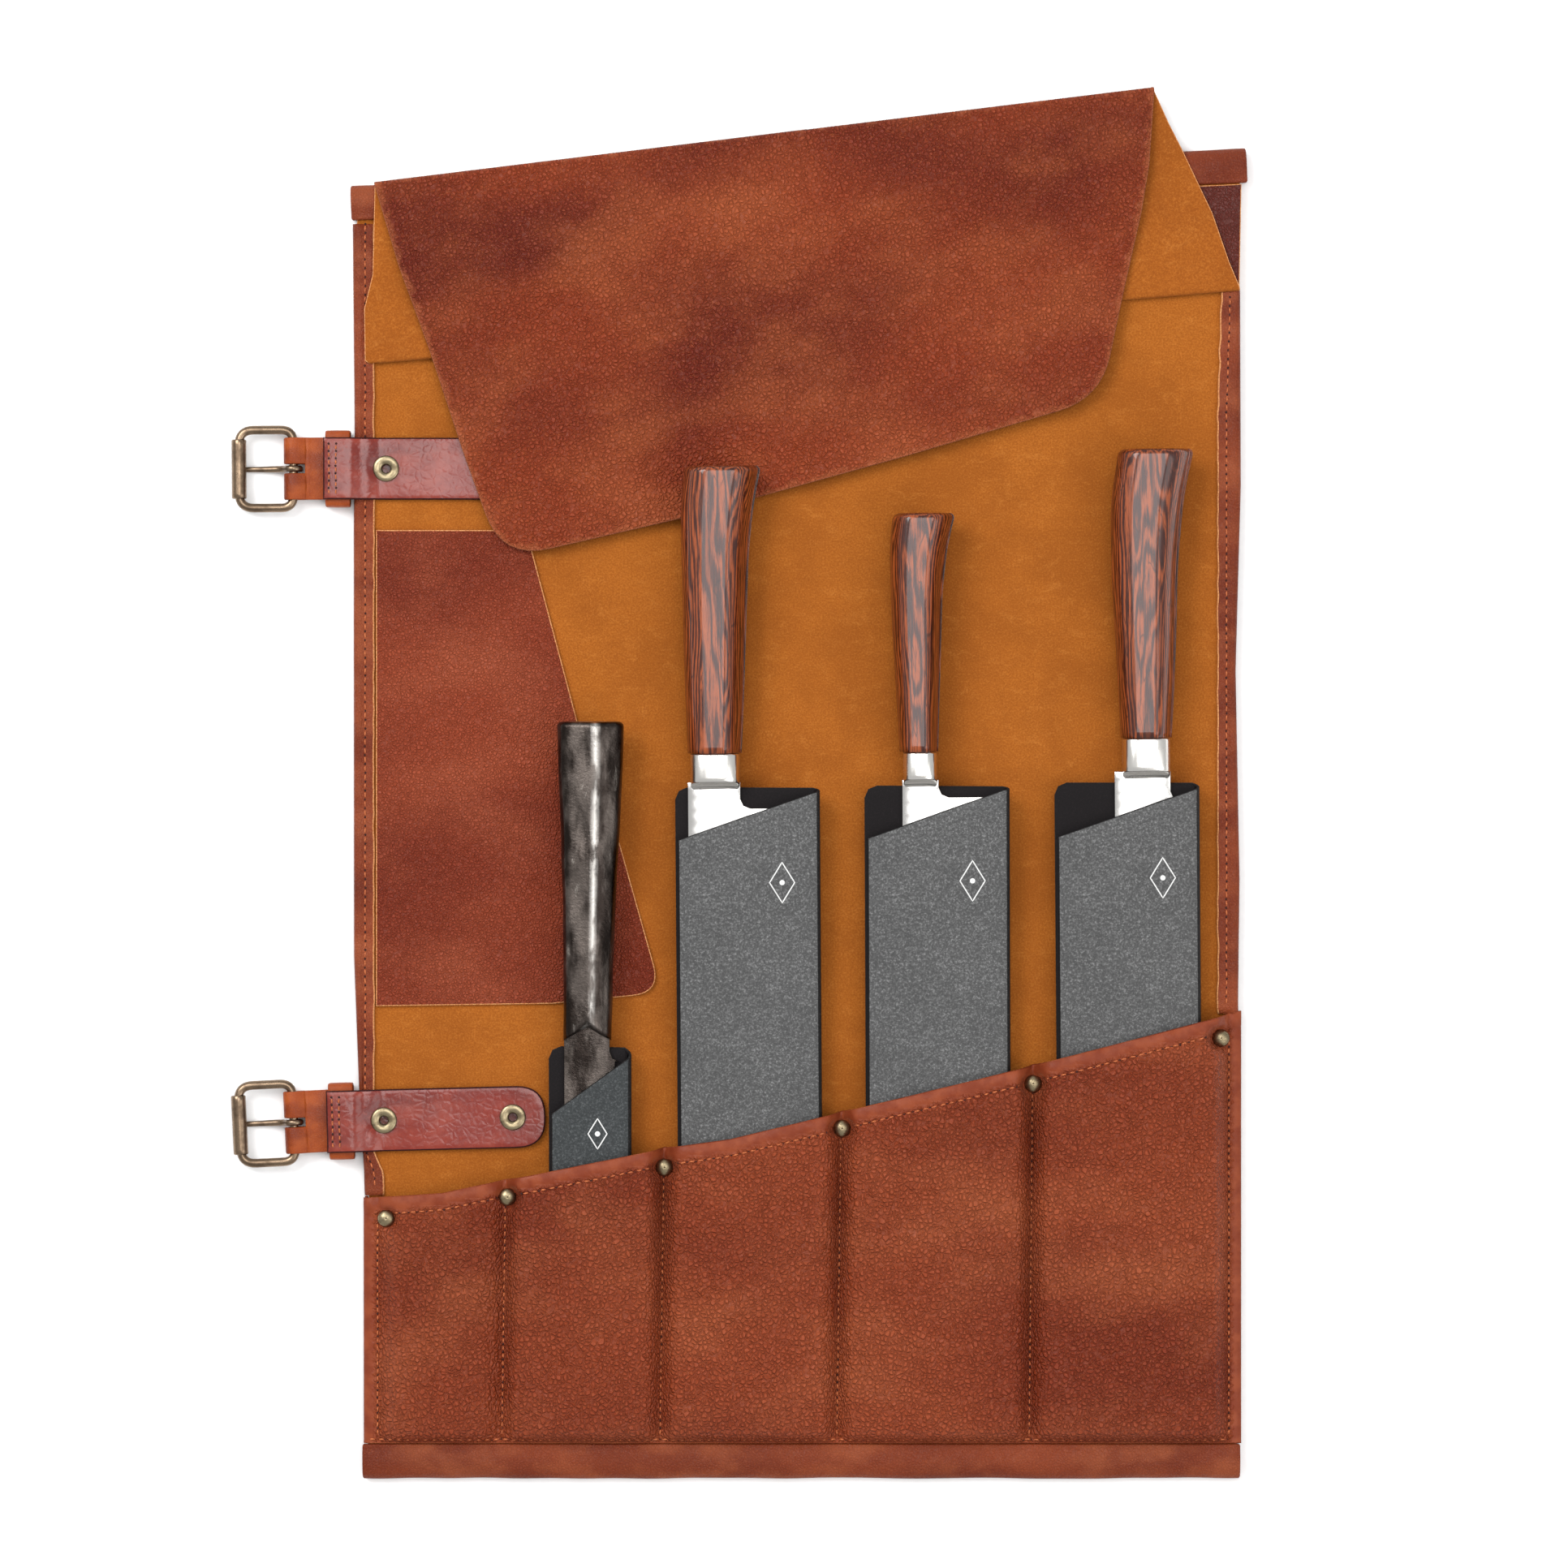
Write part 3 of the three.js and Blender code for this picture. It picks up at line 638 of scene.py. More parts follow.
def thread_look(name, base, dark):
    look = Look(name, Roughness=0.7, Specular_IOR_Level=0.3)
    twist = look.noise(look.rest(), 0.5, 2.0, 0.6)
    tone = look.tint(dark, base, twist, 0.35, 0.65)
    return look.use(Base_Color=tone, Normal=look.bump(twist, 0.1, 0.7))


def floor_look():
    look = Look("pale_floor", Roughness=0.9, Specular_IOR_Level=0.1)
    paper = look.noise(look.node("TexCoord", output="Object"), 3.0, 2.0)
    tone = look.mix(look.ranged(paper, 0.3, 0.7), (0.93, 0.93, 0.93, 1), (0.95, 0.95, 0.95, 1))
    return look.use(Base_Color=tone)


grain = grain_look("grain_leather", (98, 30, 15), (132, 52, 24), (164, 84, 46), patch=78, grain=1.7,
                   depth=0.6, crease=0.32, worn=(156, 84, 50))
pocket_grain = grain_look("pocket_grain", (114, 43, 22), (138, 60, 32), (162, 84, 50), patch=84,
                          grain=1.9, depth=0.75, crease=0.34, smooth_part=(118, 50, 27))
side_grain = grain_look("side_flap_grain", (112, 40, 22), (138, 58, 33), (158, 78, 50), patch=74,
                        grain=1.3, crease=0.34)
# A darker copy of the grain leather: painted shade for the flap's root, also on the back panel's
# underside.
shaded_root_grain = grain_look("shaded_root_grain", (50, 12, 10), (80, 26, 18), (100, 40, 28), grain=1.4, depth=0.3,
                        rough=0.4, gloss=0.22)
smooth_turn = grain_look("turned_leather", (100, 38, 19), (124, 54, 28), (152, 80, 48), patch=30,
                         grain=1.2, depth=0.14, gloss=0.14, crease=0.2)
burgundy = grain_look("burgundy_leather", (92, 20, 12), (118, 34, 22), (146, 58, 40), patch=24,
                      grain=3.2, depth=0.05, rough=0.2, coat=0.4, gloss=0.3, crease=0.06)
orange = grain_look("orange_leather", (106, 38, 11), (142, 60, 19), (172, 84, 32), patch=16,
                    grain=0.9, depth=0.06, rough=0.4, gloss=0.22, crease=0.12)
suede = suede_look("suede", (162, 92, 30), (130, 68, 18), (190, 120, 52))
flap_suede = suede_look("flap_suede", (156, 86, 27), (126, 64, 17), (186, 118, 52))
raw_edge = edge_look("raw_edge", (216, 158, 104), (168, 98, 56))
leaf_edge = edge_look("leaf_edge", (150, 88, 56), (96, 44, 26))
dark_edge = edge_look("burnished_edge", (62, 20, 19), (36, 12, 12))
brass = metal_look("antique_brass", (132, 112, 92), (62, 48, 38), 0.25, 5.0)
dome = metal_look("dome_brass", (150, 136, 108), (74, 60, 44), 0.3, 3.0, 0.7)
steel = metal_look("polished_steel", (206, 204, 201), (198, 196, 193), 0.2, 30.0, 0.5,
                   brushed=(3.0, 0.1, 1.0), spread=0.03)
ferrule_steel = metal_look("ferrule_steel", (226, 223, 218), (206, 203, 198), 0.2, 30.0, 0.4,
                           brushed=(0.15, 3.0, 0.15))
forged = forged_look("forged_steel", (94, 86, 81), (44, 38, 35), (214, 206, 196))
board = board_look("guard_board", (86, 86, 86), (142, 142, 142), (50, 50, 50))
small_board = board_look("small_guard_board", (60, 63, 64), (100, 103, 104), (38, 40, 41))
# Near-black copy of the board: the real dark layers of its cut edges, and painted shade on the outer part
# of each guard's fold.
board_edge_and_fold_shade = board_look("guard_edge_and_fold_shade", (28, 27, 27), (58, 57, 57), (16, 15, 15))
liner_black = board_look("black_liner", (14, 8, 10), (30, 23, 25), (7, 4, 5))
print_white = board_look("white_print", (226, 226, 224), (240, 240, 240), (200, 200, 200))
wood = wood_look("laminated_wood")
thread = thread_look("thread", (196, 112, 66), (150, 74, 42))
# Near-black discs at the needle holes: painted shade.
needle_hole_shade = thread_look("needle_hole_shade", (62, 22, 14), (36, 12, 8))


# Levels and outlines

PANEL_BOTTOM, PANEL_TOP = 2.6, 4.5
FIRST, FIRST_TOP = 4.8, 6.2

left_edge = np.array([(-157.4, 228.8), (-156.6, 140), (-157, 104), (-156.9, -70),
                      (-154.9, -123), (-152.9, -156), (-152.5, -169.5), (-152.3, -268)])
right_edge = np.array([(205.6, 243.4), (203.8, 202), (204.1, 121), (202, 46), (203.6, -38),
                       (203, -90), (203.9, -107), (203.6, -268)])
mouth = [(-150.6, -168.2), (-120.5, -166), (-97, -161.1), (-30.4, -147.7), (-3.6, -143.9),
         (41.6, -133), (117.8, -114.5), (201.6, -92.6)]
seams = [(-95, -96.6), (-30.6, -32.3), (41.4, 39.6), (119.3, 117.8)]
side_seams = (-147.1, 199.0)
POCKET_BASE = -268.0
pocket_rivets = [(-143.6, -176.6), (-94.2, -167.9), (-30.5, -155.8), (41.7, -140),
                 (119.4, -121.8), (195.8, -103.3)]
fold_one = np.array([(-152.2, 172.1), (203.4, 202.1)])
fold_two = np.array([(-148.2, 243.1), (168.6, 281.8)])


def edge_x(edge, y):
    order = np.argsort(edge[:, 1])
    return np.interp(y, edge[order, 1], edge[order, 0])


def level(middle, thickness, wave=0.0, size=60.0, seed=1):
    """Flat sheet with a slight wave."""

    def surface(xy):
        z = middle + wave * ripple(*xy.T, size, seed)
        up = np.tile((0.0, 0.0, 1.0), (len(xy), 1))
        return np.column_stack([xy, z]), up, np.full(len(xy), thickness / 2)

    return surface


def raised(height, thickness):
    """Sheet whose upper face has the given height at each point."""

    def surface(xy):
        x, y = xy.T
        d = 0.25
        slope_x = (height(x + d, y) - height(x - d, y)) / (2 * d)
        slope_y = (height(x, y + d) - height(x, y - d)) / (2 * d)
        normal = unit(np.column_stack([-slope_x, -slope_y, np.ones(len(xy))]))
        middle = np.column_stack([xy, height(x, y) - thickness / 2])
        return middle, normal, np.full(len(xy), thickness / 2)

    return surface


# Stitches


def stitch_row(path, height, pitch=3.6, length=2.2, width=0.75):
    """Rings of each saddle stitch in a row, and of the dark discs between them, painted shade of the
    needle holes.
    """
    path = np.asarray(path, float)
    reach = np.concatenate([[0], np.cumsum(np.linalg.norm(np.diff(path, axis=0), axis=1))])
    hexagon = np.arange(6) * math.tau / 6

    def at(s):
        return np.array([np.interp(s, reach, path[:, 0]), np.interp(s, reach, path[:, 1])])

    threads, holes = [], []
    for i in range(int(reach[-1] / pitch)):
        place = at((i + 0.5) * pitch)
        ahead = unit(at((i + 0.5) * pitch + 0.5) - place)
        turn = 0.10 * math.sin(7.3 * i + path[0, 0])
        ahead = ahead + turn * np.array([-ahead[1], ahead[0]])
        across = np.array([-ahead[1], ahead[0]])
        stitch = []
        for t in (-1, -0.75, 0, 0.75, 1):
            spot = place + ahead * t * length / 2
            z = float(height(*spot)) + 0.34 - 0.5 * t * t
            grow = width * math.sqrt(1 - t * t * 0.9)
            stitch.append([(*(spot + across * math.cos(a) * grow / 2),
                            z + math.sin(a) * grow * 0.42) for a in hexagon])
        threads.append(stitch)
        # Painted shade: a dark disc, just proud of the leather, stands for each needle hole.
        spot = place + ahead * pitch / 2
        top = float(height(*spot)) + 0.12
        holes.append([[(x, y, z) for x, y in circle(*spot, 0.5, 6)] for z in (top - 0.4, top)])
    return threads, holes


def stitches(name, rows, matrix=None):
    """Threads, and dark discs painted as the shade of the needle holes, of several rows, riding on the
    roll.
    """
    points, faces, zones = [], [], []
    for row in rows:
        for zone, solids in enumerate(row):
            for rings in solids:
                found = skin(len(rings), 6, base=len(points))
                points += [point for ring in rings for point in ring]
                faces += found
                zones += [zone] * len(found)
    obj = new_mesh(name, points, faces, zones, [thread, needle_hole_shade], matrix=matrix)
    fitted(obj, "roll", "turned_leather")


# Back panel

STEP = 4.0


def add_panel():
    margin = np.array([1.7, 0])
    left, right = left_edge + margin, right_edge - margin
    for edge in (left, right):
        edge[[0, -1], 1] += (6.0, -6.0)
    holes = []
    for strap in straps.values():
        for at in strap["rivets"]:
            spot = placed(*strap["origin"], 0, strap["turn"]) @ Vector((at, 0, 0))
            holes.append(circle(spot.x, spot.y, 2.6))
    panel = leaf("back_panel_leather", np.concatenate([left, right[::-1]]), STEP,
                 level((PANEL_BOTTOM + PANEL_TOP) / 2, PANEL_TOP - PANEL_BOTTOM, 0.12, 90, 3),
                 [suede, shaded_root_grain, raw_edge], holes=holes)
    fitted(panel, "roll", "suede", "back_panel")


# Hems and turned edges


def add_hem(name, start, length, turn):
    """Rolled leather tube with a pressed lip where it is sewn."""
    section = [(0.1, 5.2), (0.3, 5.95), (1.2, 6.05), (2.0, 5.9), (3.2, 6.3), (5.5, 6.75),
               (8.0, 6.8), (10.5, 6.4), (12.6, 5.4), (13.9, 4.1), (14.3, 3.0), (13.8, 1.7),
               (12.4, 0.6), (10.2, 0.05), (6, 0.0), (2.2, 0.3), (0.7, 1.2), (0.2, 2.6)]
    rings = []
    for s in np.concatenate([[0, 0.15, 0.5], np.arange(2.0, length - 2, 3.0),
                             [length - 0.5, length - 0.15, length]]):
        shrink = 1 - 0.10 * max(0.0, 1 - min(s, length - s) / 0.6) ** 2
        soft = 0.25 * float(ripple(np.array([s]), np.array([turn * 10]), 30, 11)[0])
        rings.append([(s, 7 + (d - 7) * shrink + (soft if d > 9 else 0),
                       3.1 + (z - 3.1) * shrink) for d, z in section])
    hem = loft(name + "_leather", rings, [smooth_turn], matrix=placed(*start, 0, turn))
    fitted(hem, "roll", "turned_leather", name)


SEWN_IN = 3.7


def turned_strip(name, edge, low, high, sign, width, seed):
    """Margin folded over the suede, round outside, with a raw inner edge."""
    rings = []
    for y in np.arange(low, high + 0.01, 2.5):
        x = float(edge_x(edge, y))
        w = width(y) + 0.22 * float(ripple(np.array([y]), np.array([0.0]), 9, seed)[0])
        stitch = w - SEWN_IN
        lift = 0.15 * float(ripple(np.array([y]), np.array([5.0]), 26, seed + 1)[0])
        section = [(1.5, 2.62), (1.5, 4.6), (w - 0.1, 4.75), (w + 0.1, 5.3), (w - 0.05, 5.95),
                   (w - 0.5, 6.15), (w - 1.8, 6.2), (stitch, 5.85), (stitch - 1.3, 6.3),
                   (stitch * 0.55, 6.65 + lift), (1.2, 6.35 + lift), (0.45, 5.6), (0.1, 4.6),
                   (0.35, 3.4), (0.9, 2.7)]
        if min(y - low, high - y) < 0.1:
            section = [(d * 0.99 + 0.03, z * 0.99 + 0.03) for d, z in section]
        rings.append([(x + sign * d, y, z) for d, z in section])
    return loft(name, rings, [smooth_turn, raw_edge], [0, 0, 1, 1, 1] + [0] * 10)


def pocket_wall(edge, low, high, sign):
    """Outer leather beside the pockets, under the pocket front's own edge."""
    section = [(1.5, 2.65), (1.6, 4.4), (1.0, 4.7), (0.3, 4.5), (0.1, 3.9), (0.3, 3.0), (0.9, 2.62)]
    rings = [[(float(edge_x(edge, y)) + sign * d, y, z) for d, z in section]
             for y in np.arange(low, high + 0.01, 4.0)]
    return loft("wall", rings, [smooth_turn])


def add_turns():
    """Each side's turned edge, pocket wall and stitches; inner is the line of the raw edge."""
    sides = {
        "left": dict(edge=left_edge, sign=1, low=-167.3, high=228.7, wall=-167.6, seed=21,
                     sewn=(-164, 229), inner=([-158, -149], [-144.6, -148.5])),
        "right": dict(edge=right_edge, sign=-1, low=-93.4, high=201.6, wall=-93.6, seed=31,
                      sewn=(-90, 200), inner=([150, 201], [194.4, 196.0])),
    }
    rows = []
    for name, side in sides.items():
        edge, sign = side["edge"], side["sign"]

        def width(y):
            return float(sign * (np.interp(y, *side["inner"]) - edge_x(edge, y)))

        strip = turned_strip(f"edge_turn_{name}_leather", edge, side["low"], side["high"], sign,
                             width, side["seed"])
        strip = joined(strip.name, [strip, pocket_wall(edge, -267.6, side["wall"], sign)])
        fitted(strip, "roll", "turned_leather", f"edge_turn_{name}")
        path = [(float(edge_x(edge, y)) + sign * (width(y) - SEWN_IN), y)
                for y in np.arange(*side["sewn"], 4.0)]
        rows.append(stitch_row(path, lambda x, y: 5.85))
    stitches("edge_stitches", rows)


# Pocket front

channels = [(-138.6, -99.2, 4.6, 0.0), (-89.1, -36.0, 5.8, 2.4), (-25.6, 36.8, 5.8, 1.8),
            (46.8, 114.5, 5.8, 1.7), (124.4, 190.8, 5.8, 1.55)]


def seam_x(seam, x, y):
    """Middle of a seam, which leans slightly."""
    top = along(mouth, np.clip(x, -150, 201))
    t = np.clip((y - POCKET_BASE) / np.maximum(top - POCKET_BASE, 1), 0, 1)
    return seam[1] + (seam[0] - seam[1]) * t


def from_mouth(x, y):
    """Distance below the slanted mouth of the pockets."""
    mouth_cosine = 0.975
    return (along(mouth, np.clip(x, -150.6, 201.6)) - y) * mouth_cosine


def pocket_height(x, y):
    """Upper face of the pocket front: pillows between stitched valleys."""
    x, y = np.broadcast_arrays(np.asarray(x, float), np.asarray(y, float))
    lines = [np.full(x.shape, side_seams[0])]
    lines += [seam_x(s, x, y) for s in seams]
    lines.append(np.full(x.shape, side_seams[1]))
    height = np.full(x.shape, FIRST_TOP)
    for i, (low, high, room, tilt) in enumerate(channels):
        within = (x >= lines[i]) & (x < lines[i + 1])
        ceiling = FIRST + room + 1.4 + np.tan(math.radians(tilt)) * (y + 265.2)
        d = np.minimum(x - lines[i], lines[i + 1] - x)
        rise = 8.0 if i == 0 else 6.4
        t = np.clip((d - 1.0) / rise, 0, 1)
        side = np.sin(t * math.pi / 2) ** 0.85
        crown = 1.1 * np.sin(np.clip(d / 31, 0, 1) * math.pi / 2) ** 2
        base = np.sin(np.clip((y - POCKET_BASE - 0.8) / 5.0, 0, 1) * math.pi / 2) ** 0.8
        puff = (ceiling + crown - FIRST_TOP) * side * base
        height = np.where(within, FIRST_TOP + puff, height)
        inner = smooth((d - 3) / 10) * smooth((y - POCKET_BASE - 5) / 14)
        slant = ripple(x + 0.5 * y, y - 0.4 * x, 17, 40 + i)
        crease = 1 - np.abs(ripple(x * 1.2, y * 0.8 + x * 0.5, 26, 60 + i))
        height = height + np.where(within, inner * (0.34 * slant + 0.6 * crease ** 3), 0)
    to_mouth = from_mouth(x, y)
    band = np.clip(to_mouth / 5.8, 0, 1)
    height = height + np.where(to_mouth < 5.8, 0.75 * np.sin(band * math.pi) ** 0.7, 0)
    height = height - 0.45 * np.exp(-((to_mouth - 6.6) / 0.8) ** 2)
    for line in lines:
        height = height - 0.35 * np.exp(-((x - line) / 0.9) ** 2)
    height = height - 0.35 * np.exp(-((y - POCKET_BASE - 1.6) / 0.8) ** 2)
    for rivet_x, rivet_y in pocket_rivets:
        r = np.hypot(x - rivet_x, y - rivet_y)
        height = np.minimum(height, 6.35 + np.maximum(r - 3.9, 0) * 3.6)
    outside = np.maximum(-150.9 - x, x - 202.3)
    return height - np.where(outside > 0, np.clip(outside, 0, 1.6) ** 2 * 0.75, 0)


def add_pocket():
    low = POCKET_BASE - 0.2
    outline = [(-152.5, low), (203.8, low), (203.8, -92.2), *mouth[:0:-1], (-152.6, -168.3)]
    step = 1.7
    pocket = leaf("pocket_front_leather", outline, step, raised(pocket_height, 1.3),
                  [pocket_grain, suede, smooth_turn], rim=0.5)
    mark_turned(pocket.data)
    fitted(pocket, "roll", "grain_leather", "pocket_front")
    rows = [stitch_row([(x, float(along(mouth, x)) - 6.8) for x in np.arange(-145, 198, 2.0)],
                       pocket_height)]
    for seam in [(side, side) for side in side_seams] + seams:
        ys = np.arange(POCKET_BASE + 3, float(along(mouth, seam[0])) - 8, 3.0)
        path = [(float(seam_x(seam, np.array(seam[0]), np.array(y))), y) for y in ys]
        rows.append(stitch_row(path, pocket_height, 3.1, 1.9))
    rows.append(stitch_row([(x, POCKET_BASE + 1.6) for x in np.arange(-151, 202, 3.0)], pocket_height))
    stitches("pocket_stitches", rows)


def mark_turned(mesh):
    """The turned mouth and sides of the pocket front are smoother than its grain."""
    x, y = np.array([v.co[:2] for v in mesh.vertices]).T / MM
    beside = np.maximum(-147.9 - x, x - 199.8)
    mark(mesh, "turned", np.maximum(1 - smooth((from_mouth(x, y) - 5.0) / 0.9), smooth(beside / 0.7)))


def add_rivets():
    seat = 6.65
    profile = [(0.01, 2.7), (1.15, 2.7), (1.2, seat - 0.2), (3.2, seat - 0.15),
               (3.55, seat + 0.1), (3.55, seat + 0.4), (3.3, seat + 1.1), (2.8, seat + 1.6),
               (2.1, seat + 2.0), (1.4, seat + 2.25), (0.7, seat + 2.38), (0.01, seat + 2.42)]
    for i, (x, y) in enumerate(pocket_rivets, 1):
        rivet = turned(f"pocket_rivet_{i}_dome", profile, [dome], placed(x, y))
        fitted(rivet, "roll", "dome_brass", f"pocket_rivet_{i}")


# Flaps


def folded(line, radius, low, up, half, wave=None):
    """Sheet bent right over along a line; the far side lies back on the near side.

    up gives the side of the line that the bend is on, and whether it turns up or down.
    """
    a = line[0]
    direction = unit(line[1] - line[0])
    outward = np.array([-direction[1], direction[0]]) * up[0]
    arc = math.pi * radius

    def surface(xy):
        d = (xy - a) @ outward
        foot = xy - d[:, None] * outward
        phi = np.clip(d, 0, arc) / radius
        reach = np.where(d <= 0, d, np.where(d >= arc, -(d - arc), radius * np.sin(phi)))
        z = low + up[1] * radius * (1 - np.cos(phi))
        place = foot + reach[:, None] * outward
        if wave:
            z = z + np.clip((d - arc) / 10, 0, 1) * wave(*place.T)
        normal = np.column_stack([np.sin(phi)[:, None] * outward * -up[1], np.cos(phi)])
        return np.column_stack([place, z]), normal, np.full(len(xy), half)

    def unfold(points):
        """Outline of the folded side, laid out beyond the line."""
        points = np.asarray(points, float)
        d = (points - a) @ outward
        return points + outward * (arc - 2 * d)[:, None]

    return surface, unfold, dict(start=a, direction=direction, outward=outward, arc=arc)


FOLD_RADIUS, HALF_LEATHER = 0.9, 0.6


def add_flaps():
    surface, unfold, bend = folded(fold_one, FOLD_RADIUS, 5.4, (-1, 1), HALF_LEATHER)
    root = np.array([(-148.2, 172.6), (-148.2, 229.1), (204.2, 244)])
    middle = np.array([fold_one[1], (199.2, 212), (192.3, 232), (179.7, 258.5), (174.6, 268.5),
                       fold_two[1], fold_two[0], (-149.1, 207), (-152.5, 193), fold_one[0]])
    outline = np.concatenate([root, [fold_one[1]], unfold(middle)])
    # The root's grain face is the darker copy of the grain leather, painted shade.
    lower = leaf("flap_lower_leather", outline, STEP * 0.75, surface,
                 [shaded_root_grain, flap_suede, raw_edge], rim=0.35, bend=bend)
    fitted(lower, None, "suede", "flap_root", "flap_middle")
    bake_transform(lower)

    def wave(x, y):
        across = fold_two[0][1] + (x - fold_two[0][0]) * 0.1222 - y
        bulge = 1.3 * np.sin(np.clip(across / 70, 0, 1) * math.pi)
        soft = 0.7 * (0.5 + ripple(x, y, 60, 5)) * smooth(across / 30)
        return np.maximum(bulge + soft, 0) * smooth((y - 118) / 45)

    surface, unfold, bend = folded(fold_two, FOLD_RADIUS, 7.2, (1, 1), HALF_LEATHER, wave)
    corners = rounded([tuple(fold_two[0]), (-138.3, 210.3), (-126.3, 177.4), (-112.3, 135),
                       (-96.5, 91, 20), (-24, 107.7), (67.3, 133), (147, 156.5, 18),
                       (155.7, 198), (163.3, 232), (166.4, 251), tuple(fold_two[1])])
    outline = np.concatenate([[fold_two[1], fold_two[0]], unfold(corners)])
    top = leaf("flap_leaf_leather", outline, STEP * 0.75, surface,
               [flap_suede, grain, leaf_edge], rim=0.4, bend=bend)
    fitted(top, None, "grain_leather", "flap_leaf")
    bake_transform(top)

    shape = rounded([(-147.8, 103.3), (-86.5, 103.3), (-65.7, 25), (-48.2, -25.6),
                     (-31.5, -85, 12), (-76, -89.4), (-147.8, -90.4)])
    side = leaf("side_flap_leather", shape, STEP * 0.75, level(5.5, 1.4),
                [side_grain, flap_suede, raw_edge], rim=0.45)
    fitted(side, None, "burgundy_leather", "side_flap")
    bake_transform(side)


# Straps and buckles

straps = {
    "upper": dict(origin=(-169, 128.2), turn=0.0, buckle=0.4, bar=-12.4, rivets=(25.4, 76.9),
                  length=90.1),
    "lower": dict(origin=(-167.6, -137.3), turn=1.4, buckle=1.4, bar=-13.6,
                  rivets=(23.1, 75.5), length=88.8),
}
STRAP_WIDTH = 25.2
BAR_HEIGHT = 5.2
BAR_TO_ROLLER = 22.1
BUCKLE_WIDTH = 35.3
WIRE_RADIUS = 1.8


def tab_height(strap):
    """Upper face of a tab along the strap, pressed down round its rivets."""

    def height(x, y):
        under = np.interp(x, [0, 11.2, 14.5, 18.5, 22.0, 100], [8.3, 8.2, 6.75, 6.55, 4.9, 4.8])
        z = under + 2.0 + 0.12 * ripple(x, y, 22, 15)
        for at in strap["rivets"]:
            r = np.hypot(x - at, y)
            z = np.minimum(z, 6.85 + np.clip(r - 5.3, 0, 9) * 0.9)
        return z

    return height


def add_strap(name, strap):
    half = STRAP_WIDTH / 2
    length = strap["length"]
    matrix = placed(*strap["origin"], 0, strap["turn"])
    bores = [circle(at, 0, 2.5) for at in strap["rivets"]]
    shape = rounded([(0, -half), (length, -half, half - 0.8), (length, half, half - 0.8), (0, half)])
    tab = leaf(f"strap_tab_{name}_leather", shape, 2.2, raised(tab_height(strap), 2.0),
               [burgundy, suede, dark_edge], rim=0.6, holes=bores, matrix=matrix)
    fitted(tab, "roll", "burgundy_leather", f"strap_tab_{name}")
    height = tab_height(strap)
    rows = [stitch_row([(x, -11), (x, 11)], height, 3.0, 1.8) for x in (2.4, 5.2)]
    stitches(f"tab_stitches_{name}", rows, matrix)

    start, end = 17, 345
    holes = [circle(end - 35 - 25 * i, 0, 2) for i in range(5)]
    shape = rounded([(start, -half), (end - 12, -half, 3), (end, 0, 3), (end - 12, half, 3),
                     (start, half)])
    belt = leaf(f"belt_{name}_leather", shape, 3.2, level(1.15, 2.3),
                [burgundy, suede, dark_edge], rim=0.5, holes=holes, matrix=matrix)
    fitted(belt, "roll", "burgundy_leather", f"belt_{name}")

    outer = half + 2.45
    middle = spaced(rounded([(-outer, 0.75, 2.2), (outer, 0.75, 2.2), (outer, 7.45, 2.2),
                             (-outer, 7.45, 2.2)]), 1.2)
    band = [(0.9, -0.35), (0.7, 0), (0.9, 0.4), (1.5, 0.55), (5.7, 0.62), (10.0, 0.55), (10.6, 0.4),
            (10.8, 0), (10.6, -0.35), (10.0, -0.55), (5.7, -0.55), (1.5, -0.55)]
    rings = [[(x, *(point - away * s)) for x, s in band] for point, away in zip(middle, inward(middle))]
    keeper = loft(f"keeper_{name}_loop", rings, [orange], closed=True, matrix=matrix)
    fitted(keeper, "roll", "orange_leather", f"keeper_{name}")

    seat = 7.1
    profile = fine_profile([(1.7, 0.3), (2.3, 0.3), (2.3, seat), (5.0, seat), (5.3, seat + 0.2),
                            (5.15, seat + 0.6), (4.2, seat + 0.9), (3.0, seat + 0.85),
                            (2.2, seat + 0.55), (1.75, seat + 0.1)], 0.6)
    for i, at in enumerate(strap["rivets"]):
        rivet = turned(f"tab_rivet_{name}_{i + 1}_tube", profile, [dome], matrix @ placed(at, 0))
        fitted(rivet, "roll", "antique_brass", f"tab_rivet_{name}_{i + 1}")
    add_buckle(name, matrix @ placed(strap["bar"], 0, 0, strap["buckle"]))


def wire(path, radius, sides=14):
    """Rings of a round wire along a closed path in space."""
    rings = []
    for i, point in enumerate(path):
        tangent = unit(path[(i + 1) % len(path)] - path[i - 1])
        side = unit(np.cross(tangent, (0, 0, 1.0)))
        other = np.cross(side, tangent)
        rings.append([point + radius * (side * math.cos(a) + other * math.sin(a))
                      for a in np.arange(sides) * math.tau / sides])
    return rings


